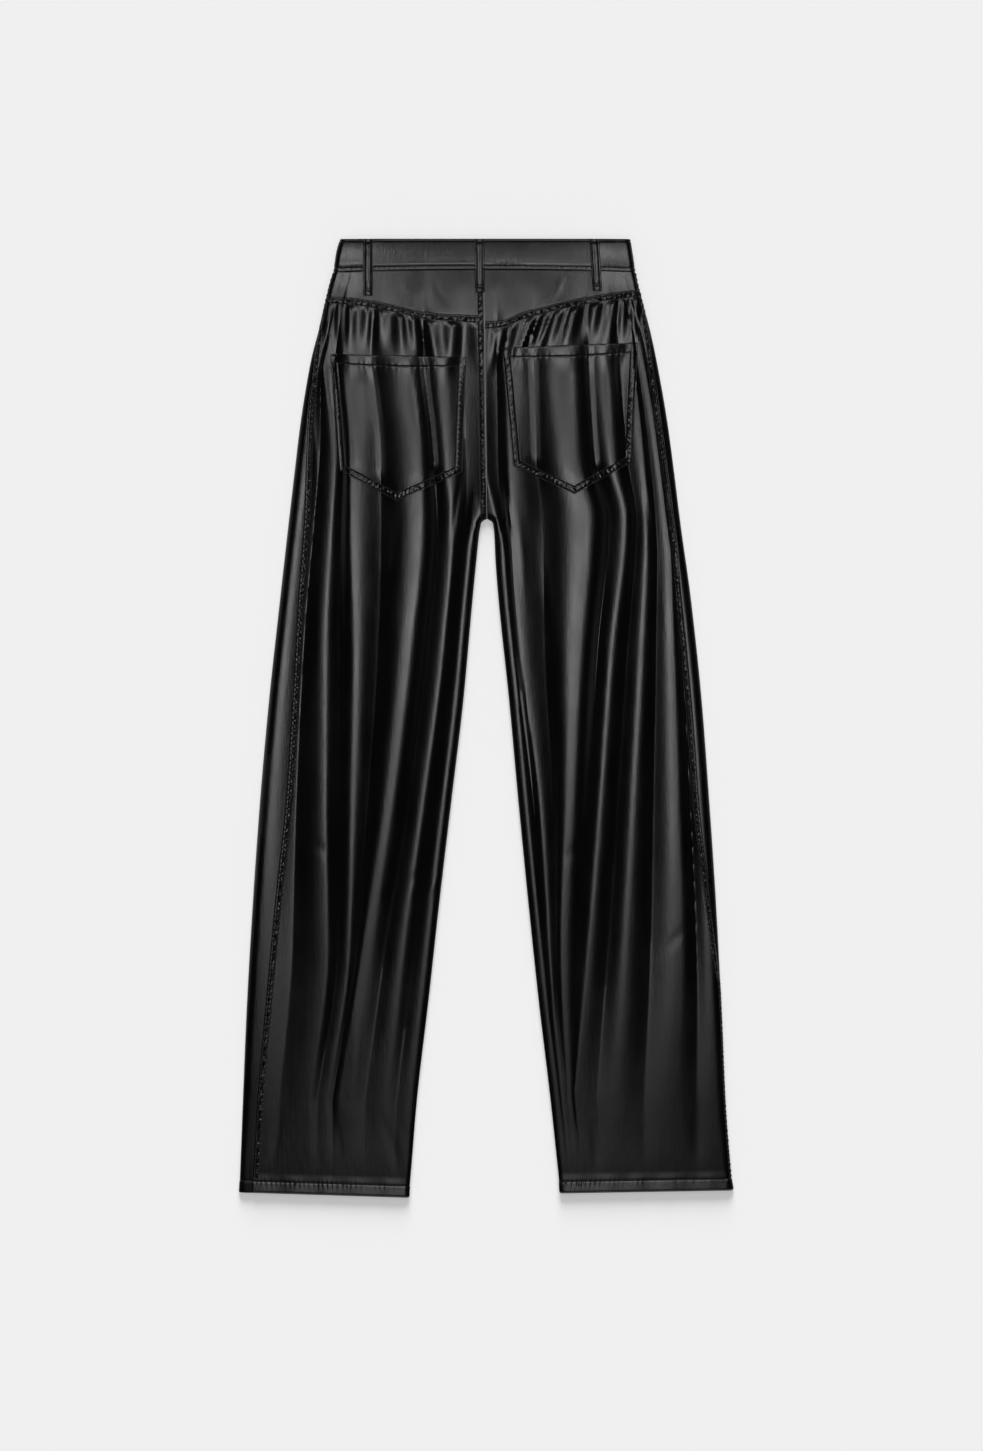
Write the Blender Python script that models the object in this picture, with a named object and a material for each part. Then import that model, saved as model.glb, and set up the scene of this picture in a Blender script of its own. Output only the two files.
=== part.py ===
"""Faux leather trousers, fastened and laid flat with the back side up.

+X is to the right as the back is looked at, +Y runs towards the waist and +Z is up; the floor is z = 0.
Sizes are in millimetres until the meshes are made. "down" is the distance below the waist's top edge,
"reach" is the distance out from the middle of the trousers, and each leg has a sign, -1 left and +1 right.
Every piece of cloth is a wall about the same two sheets: the back sheet on top and the front sheet under it,
which meet in a rounded fold along each outer edge and in the inseam along each inner edge.
"""
import math

import bmesh
import bpy
import numpy as np

MM = 0.001

LENGTH = 1053.0
WALL = 1.2
HEM_WALL = 2.2
BAND_WALL = 2.4
SEAM_GAP = 0.3
HALF_GAP = SEAM_GAP / 2

BAND_DEPTH_SIDE = 36.3
BAND_DEPTH_CENTRE = 33.5
BAND_LAP = 30.0
BAND_LAP_RISE = 2.7
BAND_LAP_RAMP = 7.0
FRONT_DIP = 9.0

HEM_DEPTH = 13.0
FELL_WIDTH = 7.7
OUTSEAM_BAND = 6.5
CENTRE_BAND = 7.6
SEAM_RAISE = 0.5
STEP = 0.6

CENTRE_SEAM_TOP_X = -3.5
CROTCH_X = 0.5
CROTCH_DOWN = 308.0
CROTCH_RADIUS = 6.5

SIDES = {"left": -1.0, "right": 1.0}

# Outer edge of each leg, and how far in from it the outseam lies on the back sheet.
# Below zero the seam has gone round the edge to the underside.
OUTER_COLUMNS = ("down", "outer_left", "outseam_left", "outer_right", "outseam_right")
OUTER_EDGE = (
    (0.0, 160.2, -3.0, 157.6, -3.0),
    (11.0, 163.2, -3.0, 158.8, -3.0),
    (36.0, 168.0, -2.8, 163.2, -2.6),
    (50.0, 172.1, -2.4, 166.2, -2.0),
    (99.0, 184.2, 0.0, 179.6, 1.2),
    (132.0, 192.8, 2.5, 186.8, 3.2),
    (198.0, 204.0, 7.8, 198.5, 7.3),
    (253.0, 210.8, 12.4, 206.0, 7.3),
    (308.0, 217.2, 17.0, 212.8, 6.6),
    (396.0, 227.1, 20.6, 224.9, 10.0),
    (506.0, 239.2, 26.4, 236.6, 11.5),
    (616.0, 249.1, 29.0, 244.9, 11.5),
    (726.0, 256.8, 25.0, 252.2, 5.4),
    (836.0, 263.2, 21.0, 257.9, -0.6),
    (946.0, 267.9, 15.8, 262.4, -1.6),
    (1028.0, 271.1, 14.4, 268.6, -2.0),
    (1053.0, 272.2, 14.3, 271.1, -2.0),
)

# Inner edge of each leg below the arch of the crotch.
INNER_COLUMNS = ("down", "inner_left", "inner_right")
INNER_EDGE = (
    (314.5, 6.0, 7.0),
    (322.0, 7.4, 8.0),
    (352.0, 10.6, 9.4),
    (396.0, 14.9, 12.8),
    (506.0, 24.9, 24.3),
    (616.0, 38.0, 34.4),
    (726.0, 51.0, 45.2),
    (836.0, 63.2, 56.8),
    (946.0, 76.0, 69.9),
    (1028.0, 82.8, 78.6),
    (1053.0, 85.2, 81.2),
)

# Heights of the middle of the cloth: the back sheet's valleys, the side fold and the front sheet.
# "swell" scales the folds, and "round_top" and "round_under" are the widths of the side fold's curve.
SHEET_COLUMNS = ("down", "valley", "edge", "under", "swell", "round_top", "round_under")
SHEETS = (
    (0.0, 9.0, 6.2, 3.5, 0.00, 5.0, 3.5),
    (45.0, 9.0, 6.2, 3.5, 0.03, 5.0, 3.5),
    (75.0, 7.8, 5.0, 2.6, 0.20, 5.5, 3.0),
    (120.0, 5.4, 3.1, 0.8, 0.50, 7.0, 2.6),
    (160.0, 4.4, 2.4, 0.6, 0.75, 8.0, 2.2),
    (308.0, 3.5, 2.1, 0.6, 1.00, 8.0, 2.0),
    (616.0, 3.2, 2.1, 0.6, 0.95, 8.0, 2.0),
    (836.0, 3.5, 2.1, 0.6, 0.52, 8.0, 2.0),
    (975.0, 4.1, 2.2, 0.6, 0.12, 7.0, 2.0),
    (1028.0, 4.8, 2.6, 1.1, 0.02, 6.0, 1.9),
    (1053.0, 4.8, 2.6, 1.1, 0.02, 6.0, 1.9),
)

# Crests of the long folds, by how far out they lie at seven levels, their height and how broad their tops are.
CREST_LEVELS = (132.0, 242.0, 308.0, 451.0, 616.0, 781.0, 946.0)
CREST_COLUMNS = ("seat", "hip", "crotch", "thigh", "knee", "calf", "shin", "height", "breadth")
CRESTS = {
    "left": (
        (53.0, 44.5, 38.0, 48.5, 70.0, 93.0, 112.0, 5.2, 1.0),
        (90.0, 75.0, 74.5, 87.5, 107.5, 135.0, 161.0, 6.0, 1.25),
        (156.0, 149.0, 149.0, 145.0, 148.0, 152.0, 176.0, 5.4, 1.0),
        (180.0, 167.5, 171.0, 178.5, 178.5, 176.5, 196.0, 5.0, 1.0),
    ),
    "right": (
        (24.0, 26.0, 27.0, 37.0, 59.0, 70.0, 80.0, 5.0, 1.0),
        (88.0, 94.0, 110.0, 100.5, 92.0, 84.0, 92.0, 6.6, 1.35),
        (130.0, 138.0, 152.5, 138.0, 126.0, 113.0, 96.0, 6.0, 1.0),
        (160.0, 172.0, 176.5, 171.0, 162.0, 153.5, 146.0, 5.2, 1.0),
        (176.0, 190.0, 200.5, 205.0, 209.5, 213.0, 206.0, 4.6, 1.2),
    ),
}
EDGE_ROLL = 9.0
FOLD_FLATNESS = 0.4
EDGE_ROLL_HEIGHT = 4.4
CREST_FULL_SPACING = 42.0
CREST_TALLEST = 1.2
SEAM_CREST_BREADTH = 0.6
CREST_SHARPNESS = 1.2
CREST_ROOM = 6.0

# The waist's middle stands higher than its ends, which start at this share of the way out.
WAIST_CROWN = 2.0
CROWN_START = 0.72

# Gathers held in by the yoke seam: how far out each lies at its top, how far out its lower end is and its height.
GATHER_COLUMNS = ("top", "low", "height")
GATHERS = {
    "left": (
        (10.0, 8.0, 1.2),
        (36.0, 40.0, 2.2),
        (66.0, 54.0, 1.9),
        (82.0, 72.0, 1.4),
        (95.0, 93.0, 1.8),
        (117.0, 119.0, 1.7),
        (129.0, 134.0, 1.3),
        (149.0, 151.0, 1.5),
        (161.0, 163.0, 1.2),
        (172.0, 175.0, 1.1),
    ),
    "right": (
        (12.0, 3.0, 1.2),
        (27.0, 14.0, 1.4),
        (54.0, 26.0, 2.0),
        (69.0, 42.0, 1.5),
        (82.0, 58.0, 1.4),
        (100.0, 82.0, 1.9),
        (121.0, 109.0, 2.2),
        (141.0, 134.0, 1.6),
        (151.0, 147.0, 1.2),
        (165.0, 159.0, 1.4),
    ),
}
GATHER_RISE = 14.0
GATHER_LENGTH = 66.0
GATHER_HALF = 8.0
GATHER_SHARPNESS = 1.6

# The seam between yoke and back panel: how far down it lies at each reach.
YOKE_COLUMNS = ("reach", "down")
YOKE_SEAM = {
    "left": ((0.0, 86.0), (13.0, 84.7), (62.0, 81.4), (95.0, 74.8), (134.0, 67.1), (170.0, 63.6)),
    "right": ((0.0, 91.3), (15.0, 90.2), (42.0, 80.4), (81.0, 70.4), (125.0, 61.8), (165.0, 56.0)),
}
YOKE_LEVEL = 75.0
YOKE_FADE = 180.0

# How far down the hem ends at each leg's outer and inner corner.
HEM_ENDS = {"left": (1047.4, 1053.2), "right": (1045.2, 1048.4)}
HEM_FADE = 120.0

# Corners of each back pocket as (x, down), in order round it, and the depth of its turned mouth.
POCKETS = {
    "left": ((-171.6, 126.6), (-22.2, 129.8), (-26.8, 256.3), (-98.5, 288.2), (-162.3, 254.1)),
    "right": ((17.0, 119.6), (166.6, 113.9), (160.3, 245.3), (96.6, 280.7), (28.8, 249.3)),
}
POCKET_WALL = 1.2
POCKET_MOUTH_DEPTH = 12.0
POCKET_MOUTH_RAISE = 0.7

# Belt loops: centre at the waist and at the lower end, and how far down they reach.
LOOP_COLUMNS = ("name", "x_top", "x_low", "down_top", "down_low")
BACK_LOOPS = (
    ("loop_back_left", -130.2, -130.2, 0.4, 62.8),
    ("loop_back_centre", -7.5, -7.6, 0.4, 59.2),
    ("loop_back_right", 118.2, 121.6, 0.4, 57.4),
)
FRONT_LOOPS = (
    ("loop_front_left", -92.0, -92.0, 5.0, 52.0),
    ("loop_front_right", 92.0, 92.0, 5.0, 52.0),
)
LOOP_WIDTH = 10.4
LOOP_WALL = 1.5
LOOP_CROWN = 0.5
FRONT_LOOP_WALL = 1.9

BUTTON_RADIUS = 9.0
BUTTON_X = 14.0
BUTTON_THICKNESS = 1.9
BUTTON_DISH = 0.6
BUTTON_SIDES = 24

# Levels of the rows of points down the panels, with closer rows round the crotch.
SEAT_LEVELS = (100.0, 116.0, 140.0, 180.0, 225.0, 265.0, 292.0)
LEG_LEVELS = (324.0, 352.0, 410.0, 490.0, 580.0, 680.0, 770.0, 820.0, 880.0, 975.0)
YOKE_SHARES = (0.0, 1 / 3, 2 / 3, 1.0)
BACK_COLUMNS = 21
FRONT_COLUMNS = 5
EDGE_COLUMNS = 9
BAND_COLUMNS = 12
LOOP_ROWS = 12

BLACK = (0.012, 0.012, 0.013, 1.0)
HORN = (0.02, 0.018, 0.017, 1.0)


def column(table, names, name):
    """One named column of a table."""
    return np.array([row[names.index(name)] for row in table], float)


def smooth_curve(stations, values, at):
    """A smooth curve through the stations that never swings past them, held flat beyond its ends."""
    stations = np.asarray(stations, float)
    values = np.asarray(values, float)
    secants = np.diff(values) / np.diff(stations)
    before, after = secants[:-1], secants[1:]
    same_way = before * after > 0
    total = np.where(same_way, before + after, 1.0)
    middle = np.where(same_way, 2 * before * after / total, 0.0)
    slopes = np.concatenate((secants[:1], middle, secants[-1:]))
    at = np.clip(at, stations[0], stations[-1])
    index = np.clip(np.searchsorted(stations, at) - 1, 0, len(stations) - 2)
    span = stations[index + 1] - stations[index]
    t = (at - stations[index]) / span
    start = (1 + 2 * t) * (1 - t) ** 2 * values[index] + t * (1 - t) ** 2 * span * slopes[index]
    end = t * t * (3 - 2 * t) * values[index + 1] + t * t * (t - 1) * span * slopes[index + 1]
    return start + end


def smooth_step(value, low, high):
    """0 below low, 1 above high, with a soft change between them."""
    t = np.clip((value - low) / (high - low), 0.0, 1.0)
    return t * t * (3 - 2 * t)


def sheet_value(name, down):
    return smooth_curve(column(SHEETS, SHEET_COLUMNS, "down"), column(SHEETS, SHEET_COLUMNS, name), down)


def outer_reach(side, down):
    """Reach of the side fold, at the middle of the cloth."""
    stations = column(OUTER_EDGE, OUTER_COLUMNS, "down")
    return smooth_curve(stations, column(OUTER_EDGE, OUTER_COLUMNS, "outer_" + side), down) - WALL / 2


def centre_x(down):
    """X of the centre back seam."""
    return np.interp(down, (0.0, CROTCH_DOWN), (CENTRE_SEAM_TOP_X, CROTCH_X))


def arch_spring():
    return CROTCH_DOWN + CROTCH_RADIUS


def inseam_reach(side, down):
    """Reach of the inseam, at the middle of the cloth."""
    stations = column(INNER_EDGE, INNER_COLUMNS, "down")
    return smooth_curve(stations, column(INNER_EDGE, INNER_COLUMNS, "inner_" + side), down) + WALL / 2


def inner_x(side, down):
    """X of the inner border of a leg's cloth: centre seam, crotch arch, then inseam."""
    down = np.asarray(down, float)
    sign = SIDES[side]
    radius = CROTCH_RADIUS + WALL / 2
    rise = arch_spring() - down
    arch = CROTCH_X + sign * np.sqrt(np.clip(radius ** 2 - np.clip(rise, 0, radius) ** 2, HALF_GAP ** 2, None))
    seam = centre_x(down) + sign * HALF_GAP
    return np.where(rise <= 0, sign * inseam_reach(side, down), np.where(rise < radius, arch, seam))


def inner_distance(side, x, down):
    """Distance in from the inseam edge and the crotch arch."""
    radius = CROTCH_RADIUS + WALL / 2
    rise = arch_spring() - down
    above = np.hypot(x - CROTCH_X, rise) - radius
    below = SIDES[side] * (x - inner_x(side, np.maximum(down, arch_spring())))
    return np.where(rise > 0, above, below)


def edge_distance(side, x, down):
    outer = outer_reach(side, down) - SIDES[side] * x
    return np.clip(np.minimum(outer, inner_distance(side, x, down)), 0.0, None)


def inner_roll(down):
    """How far the innermost crest has moved from the centre seam to the inseam."""
    return smooth_step(down, CROTCH_DOWN - 60, CROTCH_DOWN + 40)


def crest_reaches(side, down):
    """Reach of every crest across one leg, from the inner border to the side fold."""
    below = inner_roll(down)
    centre = SIDES[side] * centre_x(down)
    first = centre + below * (inseam_reach(side, down) + EDGE_ROLL - centre)
    last = outer_reach(side, down) - EDGE_ROLL
    rows = [first]
    for index, crest in enumerate(CRESTS[side]):
        before, after = index + 1, len(CRESTS[side]) - index
        reach = smooth_curve(CREST_LEVELS, crest[:-2], down)
        rows.append(np.clip(reach, first + CREST_ROOM * before, last - CREST_ROOM * after))
    rows.append(last)
    return np.array(rows)


def crest_valleys(side, down):
    """Reach of the valley between each crest and the next. A broad crest pushes it away."""
    crests = crest_reaches(side, down)
    breadths = [1.0] + [crest[-1] for crest in CRESTS[side]] + [1.0]
    shares = [near / (near + far) for near, far in zip(breadths, breadths[1:])]
    valleys = [near + share * (far - near) for near, far, share in zip(crests, crests[1:], shares)]
    return np.array(valleys)


def fold_height(side, x, down):
    """Height of the long folds: rounded crests with narrow valleys between them."""
    reach = SIDES[side] * x
    crests = crest_reaches(side, down)
    valleys = crest_valleys(side, down)
    heights = [EDGE_ROLL_HEIGHT] + [crest[-2] for crest in CRESTS[side]] + [EDGE_ROLL_HEIGHT]
    seam = SEAM_CREST_BREADTH + (1 - SEAM_CREST_BREADTH) * inner_roll(down)
    breadths = [seam] + [crest[-1] for crest in CRESTS[side]] + [1.0]
    total = np.zeros_like(reach)
    for index, crest in enumerate(crests):
        low = valleys[index - 1] if index else crest - 2 * EDGE_ROLL
        high = valleys[index] if index < len(valleys) else crest + 2 * EDGE_ROLL
        half = np.where(reach < crest, crest - low, high - crest)
        t = np.clip(np.abs(reach - crest) / np.maximum(half, 1.0), 0.0, 1.0)
        spacing = np.clip((high - low) / CREST_FULL_SPACING, 0.0, CREST_TALLEST)
        profile = np.cos(t ** breadths[index] * math.pi / 2) ** CREST_SHARPNESS
        total += heights[index] * spacing * profile
    return total


def yoke_down(side, x):
    table = YOKE_SEAM[side]
    reach = SIDES[side] * x
    return smooth_curve(column(table, YOKE_COLUMNS, "reach"), column(table, YOKE_COLUMNS, "down"), reach)


def gather_height(side, x, down):
    """Height of the short gathers just below the yoke seam."""
    below = down - yoke_down(side, x)
    window = smooth_step(below, 3.0, GATHER_RISE) * (1 - smooth_step(below, 0.35 * GATHER_LENGTH, GATHER_LENGTH))
    reach = SIDES[side] * x
    centres = [top + (low - top) * below / GATHER_LENGTH for top, low, _ in GATHERS[side]]
    total = np.zeros_like(below)
    for index, (_, _, height) in enumerate(GATHERS[side]):
        before = (centres[index] - centres[index - 1]) / 2 if index else GATHER_HALF
        after = (centres[index + 1] - centres[index]) / 2 if index + 1 < len(centres) else GATHER_HALF
        half = np.maximum(np.where(reach < centres[index], before, after), 2.0)
        t = np.clip(np.abs(reach - centres[index]) / half, 0.0, 1.0)
        total += height * np.cos(t * math.pi / 2) ** GATHER_SHARPNESS
    return total * window


def waist_crown(side, x, down):
    """How much higher the middle of the waist stands than its two ends."""
    share = SIDES[side] * x / outer_reach(side, down)
    return WAIST_CROWN * (1 - smooth_step(share, CROWN_START, 1.0)) * (1 - smooth_step(down, 70.0, 150.0))


def top_height(side, x, down):
    """Height of the middle of the back sheet above the side fold's middle."""
    folds = sheet_value("swell", down) * fold_height(side, x, down)
    valley = sheet_value("valley", down) - sheet_value("edge", down)
    return valley + waist_crown(side, x, down) + folds + gather_height(side, x, down)


def under_height(side, x, down):
    """Depth of the middle of the front sheet below the side fold's middle."""
    return sheet_value("edge", down) - sheet_value("under", down) + 0.0 * x


def slope(function, side, x, down):
    """Slopes of a sheet function along +X and +Y."""
    reach = 0.4
    along_x = (function(side, x + reach, down) - function(side, x - reach, down)) / (2 * reach)
    along_y = (function(side, x, down - reach) - function(side, x, down + reach)) / (2 * reach)
    return along_x, along_y


def cloth_points(side, x, down, under):
    """Points on the middle of the cloth, and their outward normals."""
    distance = edge_distance(side, x, down)
    radius = np.where(under, sheet_value("round_under", down), sheet_value("round_top", down))
    cosine = np.clip(1 - distance / radius, 0.0, 1.0)
    sine = np.sqrt(1 - cosine ** 2)
    height = np.where(under, under_height(side, x, down), top_height(side, x, down))
    rise = np.maximum(height * sine, HALF_GAP)
    direction = np.where(under, -1.0, 1.0)
    z = sheet_value("edge", down) + direction * rise
    points = np.stack((x, LENGTH / 2 - down, z), axis=-1)
    top_x, top_y = slope(top_height, side, x, down)
    under_x, under_y = slope(under_height, side, x, down)
    edge_x, edge_y = slope(edge_distance, side, x, down)
    height_x = np.where(under, under_x, top_x)
    height_y = np.where(under, under_y, top_y)
    normals = np.stack((
        -sine ** 2 * height_x - cosine * height * edge_x / radius,
        -sine ** 2 * height_y - cosine * height * edge_y / radius,
        direction * sine,
    ), axis=-1)
    normals /= np.linalg.norm(normals, axis=-1, keepdims=True)
    return points, normals


def arc_from_distance(distance, radius):
    """Length along a side fold's curve at a distance in from the edge."""
    curved = radius * np.arccos(np.clip(1 - distance / radius, -1.0, 1.0))
    return np.where(distance < radius, curved, radius * math.pi / 2 + distance - radius)


def distance_from_arc(arc, radius):
    curved = radius * (1 - np.cos(np.clip(arc / radius, 0.0, math.pi / 2)))
    return np.where(arc < radius * math.pi / 2, curved, radius + arc - radius * math.pi / 2)


def outseam_arc(side, down):
    """The outseam's place along the section: above zero on top, below zero on the underside."""
    stations = column(OUTER_EDGE, OUTER_COLUMNS, "down")
    place = smooth_curve(stations, column(OUTER_EDGE, OUTER_COLUMNS, "outseam_" + side), down)
    arc = arc_from_distance(np.maximum(place, 0.0), sheet_value("round_top", down))
    return np.where(place > 0, arc, place)


def outseam_half_gap(side, down):
    """Half the outseam's gap as a length of arc, which the flattened side fold shortens near the edge."""
    turn = np.clip(np.abs(outseam_arc(side, down)) / sheet_value("round_top", down), 0.0, math.pi / 2)
    return HALF_GAP / np.sqrt(np.sin(turn) ** 2 + FOLD_FLATNESS ** 2 * np.cos(turn) ** 2)


def x_at_arc(side, arc, down):
    """X of a place along the section, and whether it is on the underside."""
    radius = np.where(arc < 0, sheet_value("round_under", down), sheet_value("round_top", down))
    distance = distance_from_arc(np.abs(arc), radius)
    return SIDES[side] * (outer_reach(side, down) - distance), arc < 0


def arc_at_x(side, x, down, under):
    name = "round_under" if under else "round_top"
    return arc_from_distance(outer_reach(side, down) - SIDES[side] * x, sheet_value(name, down))


def band_seam(side, x):
    """How far down the waistband's lower seam lies."""
    share = np.clip(np.abs(x) / outer_reach(side, 0.0), 0.0, 1.0) ** 2
    return BAND_DEPTH_CENTRE + (BAND_DEPTH_SIDE - BAND_DEPTH_CENTRE) * share


def front_dip(side, x):
    """How much lower the front waist sits than the back: most at the centre, nothing at the sides."""
    share = np.clip(np.abs(x) / outer_reach(side, 0.0), 0.0, 1.0)
    return FRONT_DIP * 0.5 * (1 + np.cos(math.pi * share))


def crotch_levels():
    """Rows that follow the cloth's curve into the crotch and round its arch."""
    radius = CROTCH_RADIUS + WALL / 2
    apex = arch_spring() - radius
    round_top = float(sheet_value("round_top", CROTCH_DOWN))
    into = [apex - round_top * (1 - math.cos(math.radians(angle))) for angle in (90, 60, 30)]
    arch = [arch_spring() - radius * math.sin(math.radians(angle)) for angle in (60, 30, 0)]
    return into + [apex] + arch


def back_levels():
    fell = [YOKE_LEVEL + HALF_GAP, YOKE_LEVEL + FELL_WIDTH, YOKE_LEVEL + FELL_WIDTH + STEP]
    hem = [LENGTH - HEM_DEPTH - STEP, LENGTH - HEM_DEPTH, LENGTH]
    return np.array(fell + list(SEAT_LEVELS) + crotch_levels() + list(LEG_LEVELS) + hem)


def yoke_shift(side, level, x):
    """How far a row is moved down to follow the yoke seam above it."""
    near = 1 - smooth_step(level, YOKE_LEVEL + FELL_WIDTH + STEP, YOKE_FADE)
    return near * (yoke_down(side, x) - YOKE_LEVEL)


def hem_shift(side, level, x):
    """How far a row is moved to follow the slant of the hem below it."""
    outer, inner = HEM_ENDS[side]
    reaches = (float(SIDES[side] * inner_x(side, LENGTH)), float(outer_reach(side, LENGTH)))
    near = smooth_step(level, LENGTH - HEM_FADE, LENGTH - HEM_DEPTH - STEP)
    return near * (np.interp(SIDES[side] * x, reaches, (inner, outer)) - LENGTH)


def back_down(side, level, x):
    return level + yoke_shift(side, level, x) + hem_shift(side, level, x)


def yoke_row_down(side, share, x):
    top = band_seam(side, x) + HALF_GAP
    return top + share * (yoke_down(side, x) - HALF_GAP - top)


def yoke_side_down(side):
    return float(yoke_down(side, SIDES[side] * YOKE_SEAM[side][-1][0]))


def front_levels(side):
    """The front panel's rows meet the yoke's and the back panel's rows at the outseam."""
    top = BAND_DEPTH_SIDE + HALF_GAP
    depth = yoke_side_down(side) - HALF_GAP - top
    beside_yoke = [top + share * depth for share in YOKE_SHARES[:-1]] + [yoke_side_down(side)]
    levels = back_levels()[1:]
    side_x = SIDES[side] * YOKE_SEAM[side][-1][0]
    return np.array(beside_yoke + list(levels + yoke_shift(side, levels, side_x)))


def front_down(side, level, x):
    near_waist = 1 - smooth_step(level, BAND_DEPTH_SIDE, yoke_side_down(side))
    seam = near_waist * (band_seam(side, x) - BAND_DEPTH_SIDE)
    dip = (1 - smooth_step(level, yoke_side_down(side), YOKE_FADE)) * front_dip(side, x)
    return level + seam + dip + hem_shift(side, level, x)


def back_places(side, down):
    """X and layer of each column of a back panel, from the inner border out to the outseam."""
    sign = SIDES[side]
    inner_offsets = (0.0, 0.6, 2.4, 4.9, CENTRE_BAND, CENTRE_BAND + STEP)
    seam_offsets = (OUTSEAM_BAND + STEP, OUTSEAM_BAND, 3.8, 1.8, outseam_half_gap(side, down))
    first = arc_at_x(side, inner_x(side, down) + sign * inner_offsets[-1], down, False)
    seam = outseam_arc(side, down)
    arcs = []
    for index in range(1, BACK_COLUMNS + 1):
        share = index / (BACK_COLUMNS + 1)
        arcs.append(first * (1 - share) + (seam + seam_offsets[0]) * share)
    arcs += [seam + offset for offset in seam_offsets]
    top = np.zeros(np.shape(down), bool)
    places = [(inner_x(side, down) + sign * offset, top) for offset in inner_offsets]
    return places + [x_at_arc(side, arc, down) for arc in arcs]


def front_places(side, down):
    """X and layer of each column of a front panel, from the outseam round the edge to the inner border."""
    sign = SIDES[side]
    inner_offsets = (2.6, 0.9, 0.3, 0.0)
    seam = outseam_arc(side, down) - outseam_half_gap(side, down)
    curve = sheet_value("round_under", down) * math.pi / 2
    turned = np.minimum(-curve - 0.5, seam - 4.0)
    last = -arc_at_x(side, inner_x(side, down) + sign * inner_offsets[0], down, True)
    arcs = [seam + (turned - seam) * index / (EDGE_COLUMNS - 1) for index in range(EDGE_COLUMNS)]
    for index in range(1, FRONT_COLUMNS + 1):
        share = index / (FRONT_COLUMNS + 1)
        arcs.append(turned * (1 - share) + last * share)
    under = np.ones(np.shape(down), bool)
    places = [x_at_arc(side, arc, down) for arc in arcs]
    return places + [(inner_x(side, down) + sign * offset, under) for offset in inner_offsets]


def settle_grid(side, levels, places, row_down, start):
    """X, down and layer of each grid point: rows bend with X and columns with down, so both are settled."""
    grid = []
    for index in range(len(places(side, start))):
        down = start
        for _ in range(4):
            x, under = places(side, down)[index]
            down = row_down(side, levels, x)
        grid.append((x, down, under))
    return tuple(np.stack(part, axis=1) for part in zip(*grid))


def new_object(name, mesh_data, material):
    """An object with its own material from a bmesh in millimetres."""
    bmesh.ops.recalc_face_normals(mesh_data, faces=mesh_data.faces)
    bmesh.ops.scale(mesh_data, vec=(MM, MM, MM), verts=mesh_data.verts)
    mesh = bpy.data.meshes.new(name)
    mesh_data.to_mesh(mesh)
    mesh_data.free()
    mesh.materials.append(material)
    mesh.shade_smooth()
    mesh.set_sharp_from_angle(angle=math.radians(35))
    item = bpy.data.objects.new(name, mesh)
    bpy.context.scene.collection.objects.link(item)
    return item


def principled(name, colour, roughness):
    material = bpy.data.materials.new(name)
    material.use_nodes = True
    shader = material.node_tree.nodes["Principled BSDF"]
    shader.inputs["Base Color"].default_value = colour
    shader.inputs["Roughness"].default_value = roughness
    shader.inputs["Metallic"].default_value = 0.0
    material.diffuse_color = colour
    return material


def wall_between(outer, inner):
    """A closed wall between two grids of points, cut into triangles."""
    mesh_data = bmesh.new()
    rows, columns = outer.shape[:2]
    outer_verts = [[mesh_data.verts.new(outer[j, i]) for i in range(columns)] for j in range(rows)]
    inner_verts = [[mesh_data.verts.new(inner[j, i]) for i in range(columns)] for j in range(rows)]
    for verts, flip in ((outer_verts, False), (inner_verts, True)):
        for j in range(rows - 1):
            for i in range(columns - 1):
                a, b = verts[j][i], verts[j][i + 1]
                c, d = verts[j + 1][i + 1], verts[j + 1][i]
                for corners in ((a, b, c), (a, c, d)):
                    mesh_data.faces.new(corners[::-1] if flip else corners)
    border = [(0, i) for i in range(columns)]
    border += [(j, columns - 1) for j in range(1, rows)]
    border += [(rows - 1, i) for i in range(columns - 2, -1, -1)]
    border += [(j, 0) for j in range(rows - 2, 0, -1)]
    for (j, i), (k, m) in zip(border, border[1:] + border[:1]):
        mesh_data.faces.new((outer_verts[k][m], outer_verts[j][i], inner_verts[j][i], inner_verts[k][m]))
    return mesh_data


def cloth_wall(side, x, down, under, outer, inner):
    """Outer and inner points of a wall about the shared cloth."""
    points, normals = cloth_points(side, x, down, under)
    return points + normals * outer[..., None], points - normals * inner[..., None]


def hem_walls(levels, columns):
    """Half the wall's thickness at each grid point: the turned hem is double."""
    half = np.where(levels > LENGTH - HEM_DEPTH - 0.5 * STEP, HEM_WALL / 2, WALL / 2)
    return np.repeat(half[:, None], columns, axis=1)


def make_back(side, material):
    """A back leg panel with its felled seam bands; returns it with its outer points."""
    levels = back_levels()
    x, down, under = settle_grid(side, levels, back_places, back_down, levels)
    inner = hem_walls(levels, x.shape[1])
    outer = inner.copy()
    seat = levels < arch_spring() - CROTCH_RADIUS
    outer[:, -4:] = np.maximum(outer[:, -4:], np.where(under[:, -4:], WALL / 2, WALL / 2 + SEAM_RAISE))
    outer[:2, :] = WALL / 2 + SEAM_RAISE
    if side == "left":
        outer[seat, :5] = WALL / 2 + SEAM_RAISE
    outer_points, inner_points = cloth_wall(side, x, down, under, outer, inner)
    return new_object("back_" + side, wall_between(outer_points, inner_points), material), outer_points


def make_front(side, material):
    levels = front_levels(side)
    x, down, under = settle_grid(side, levels, front_places, front_down, levels)
    half = hem_walls(levels, x.shape[1])
    outer_points, inner_points = cloth_wall(side, x, down, under, half, half)
    return new_object("front_" + side, wall_between(outer_points, inner_points), material)


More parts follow.
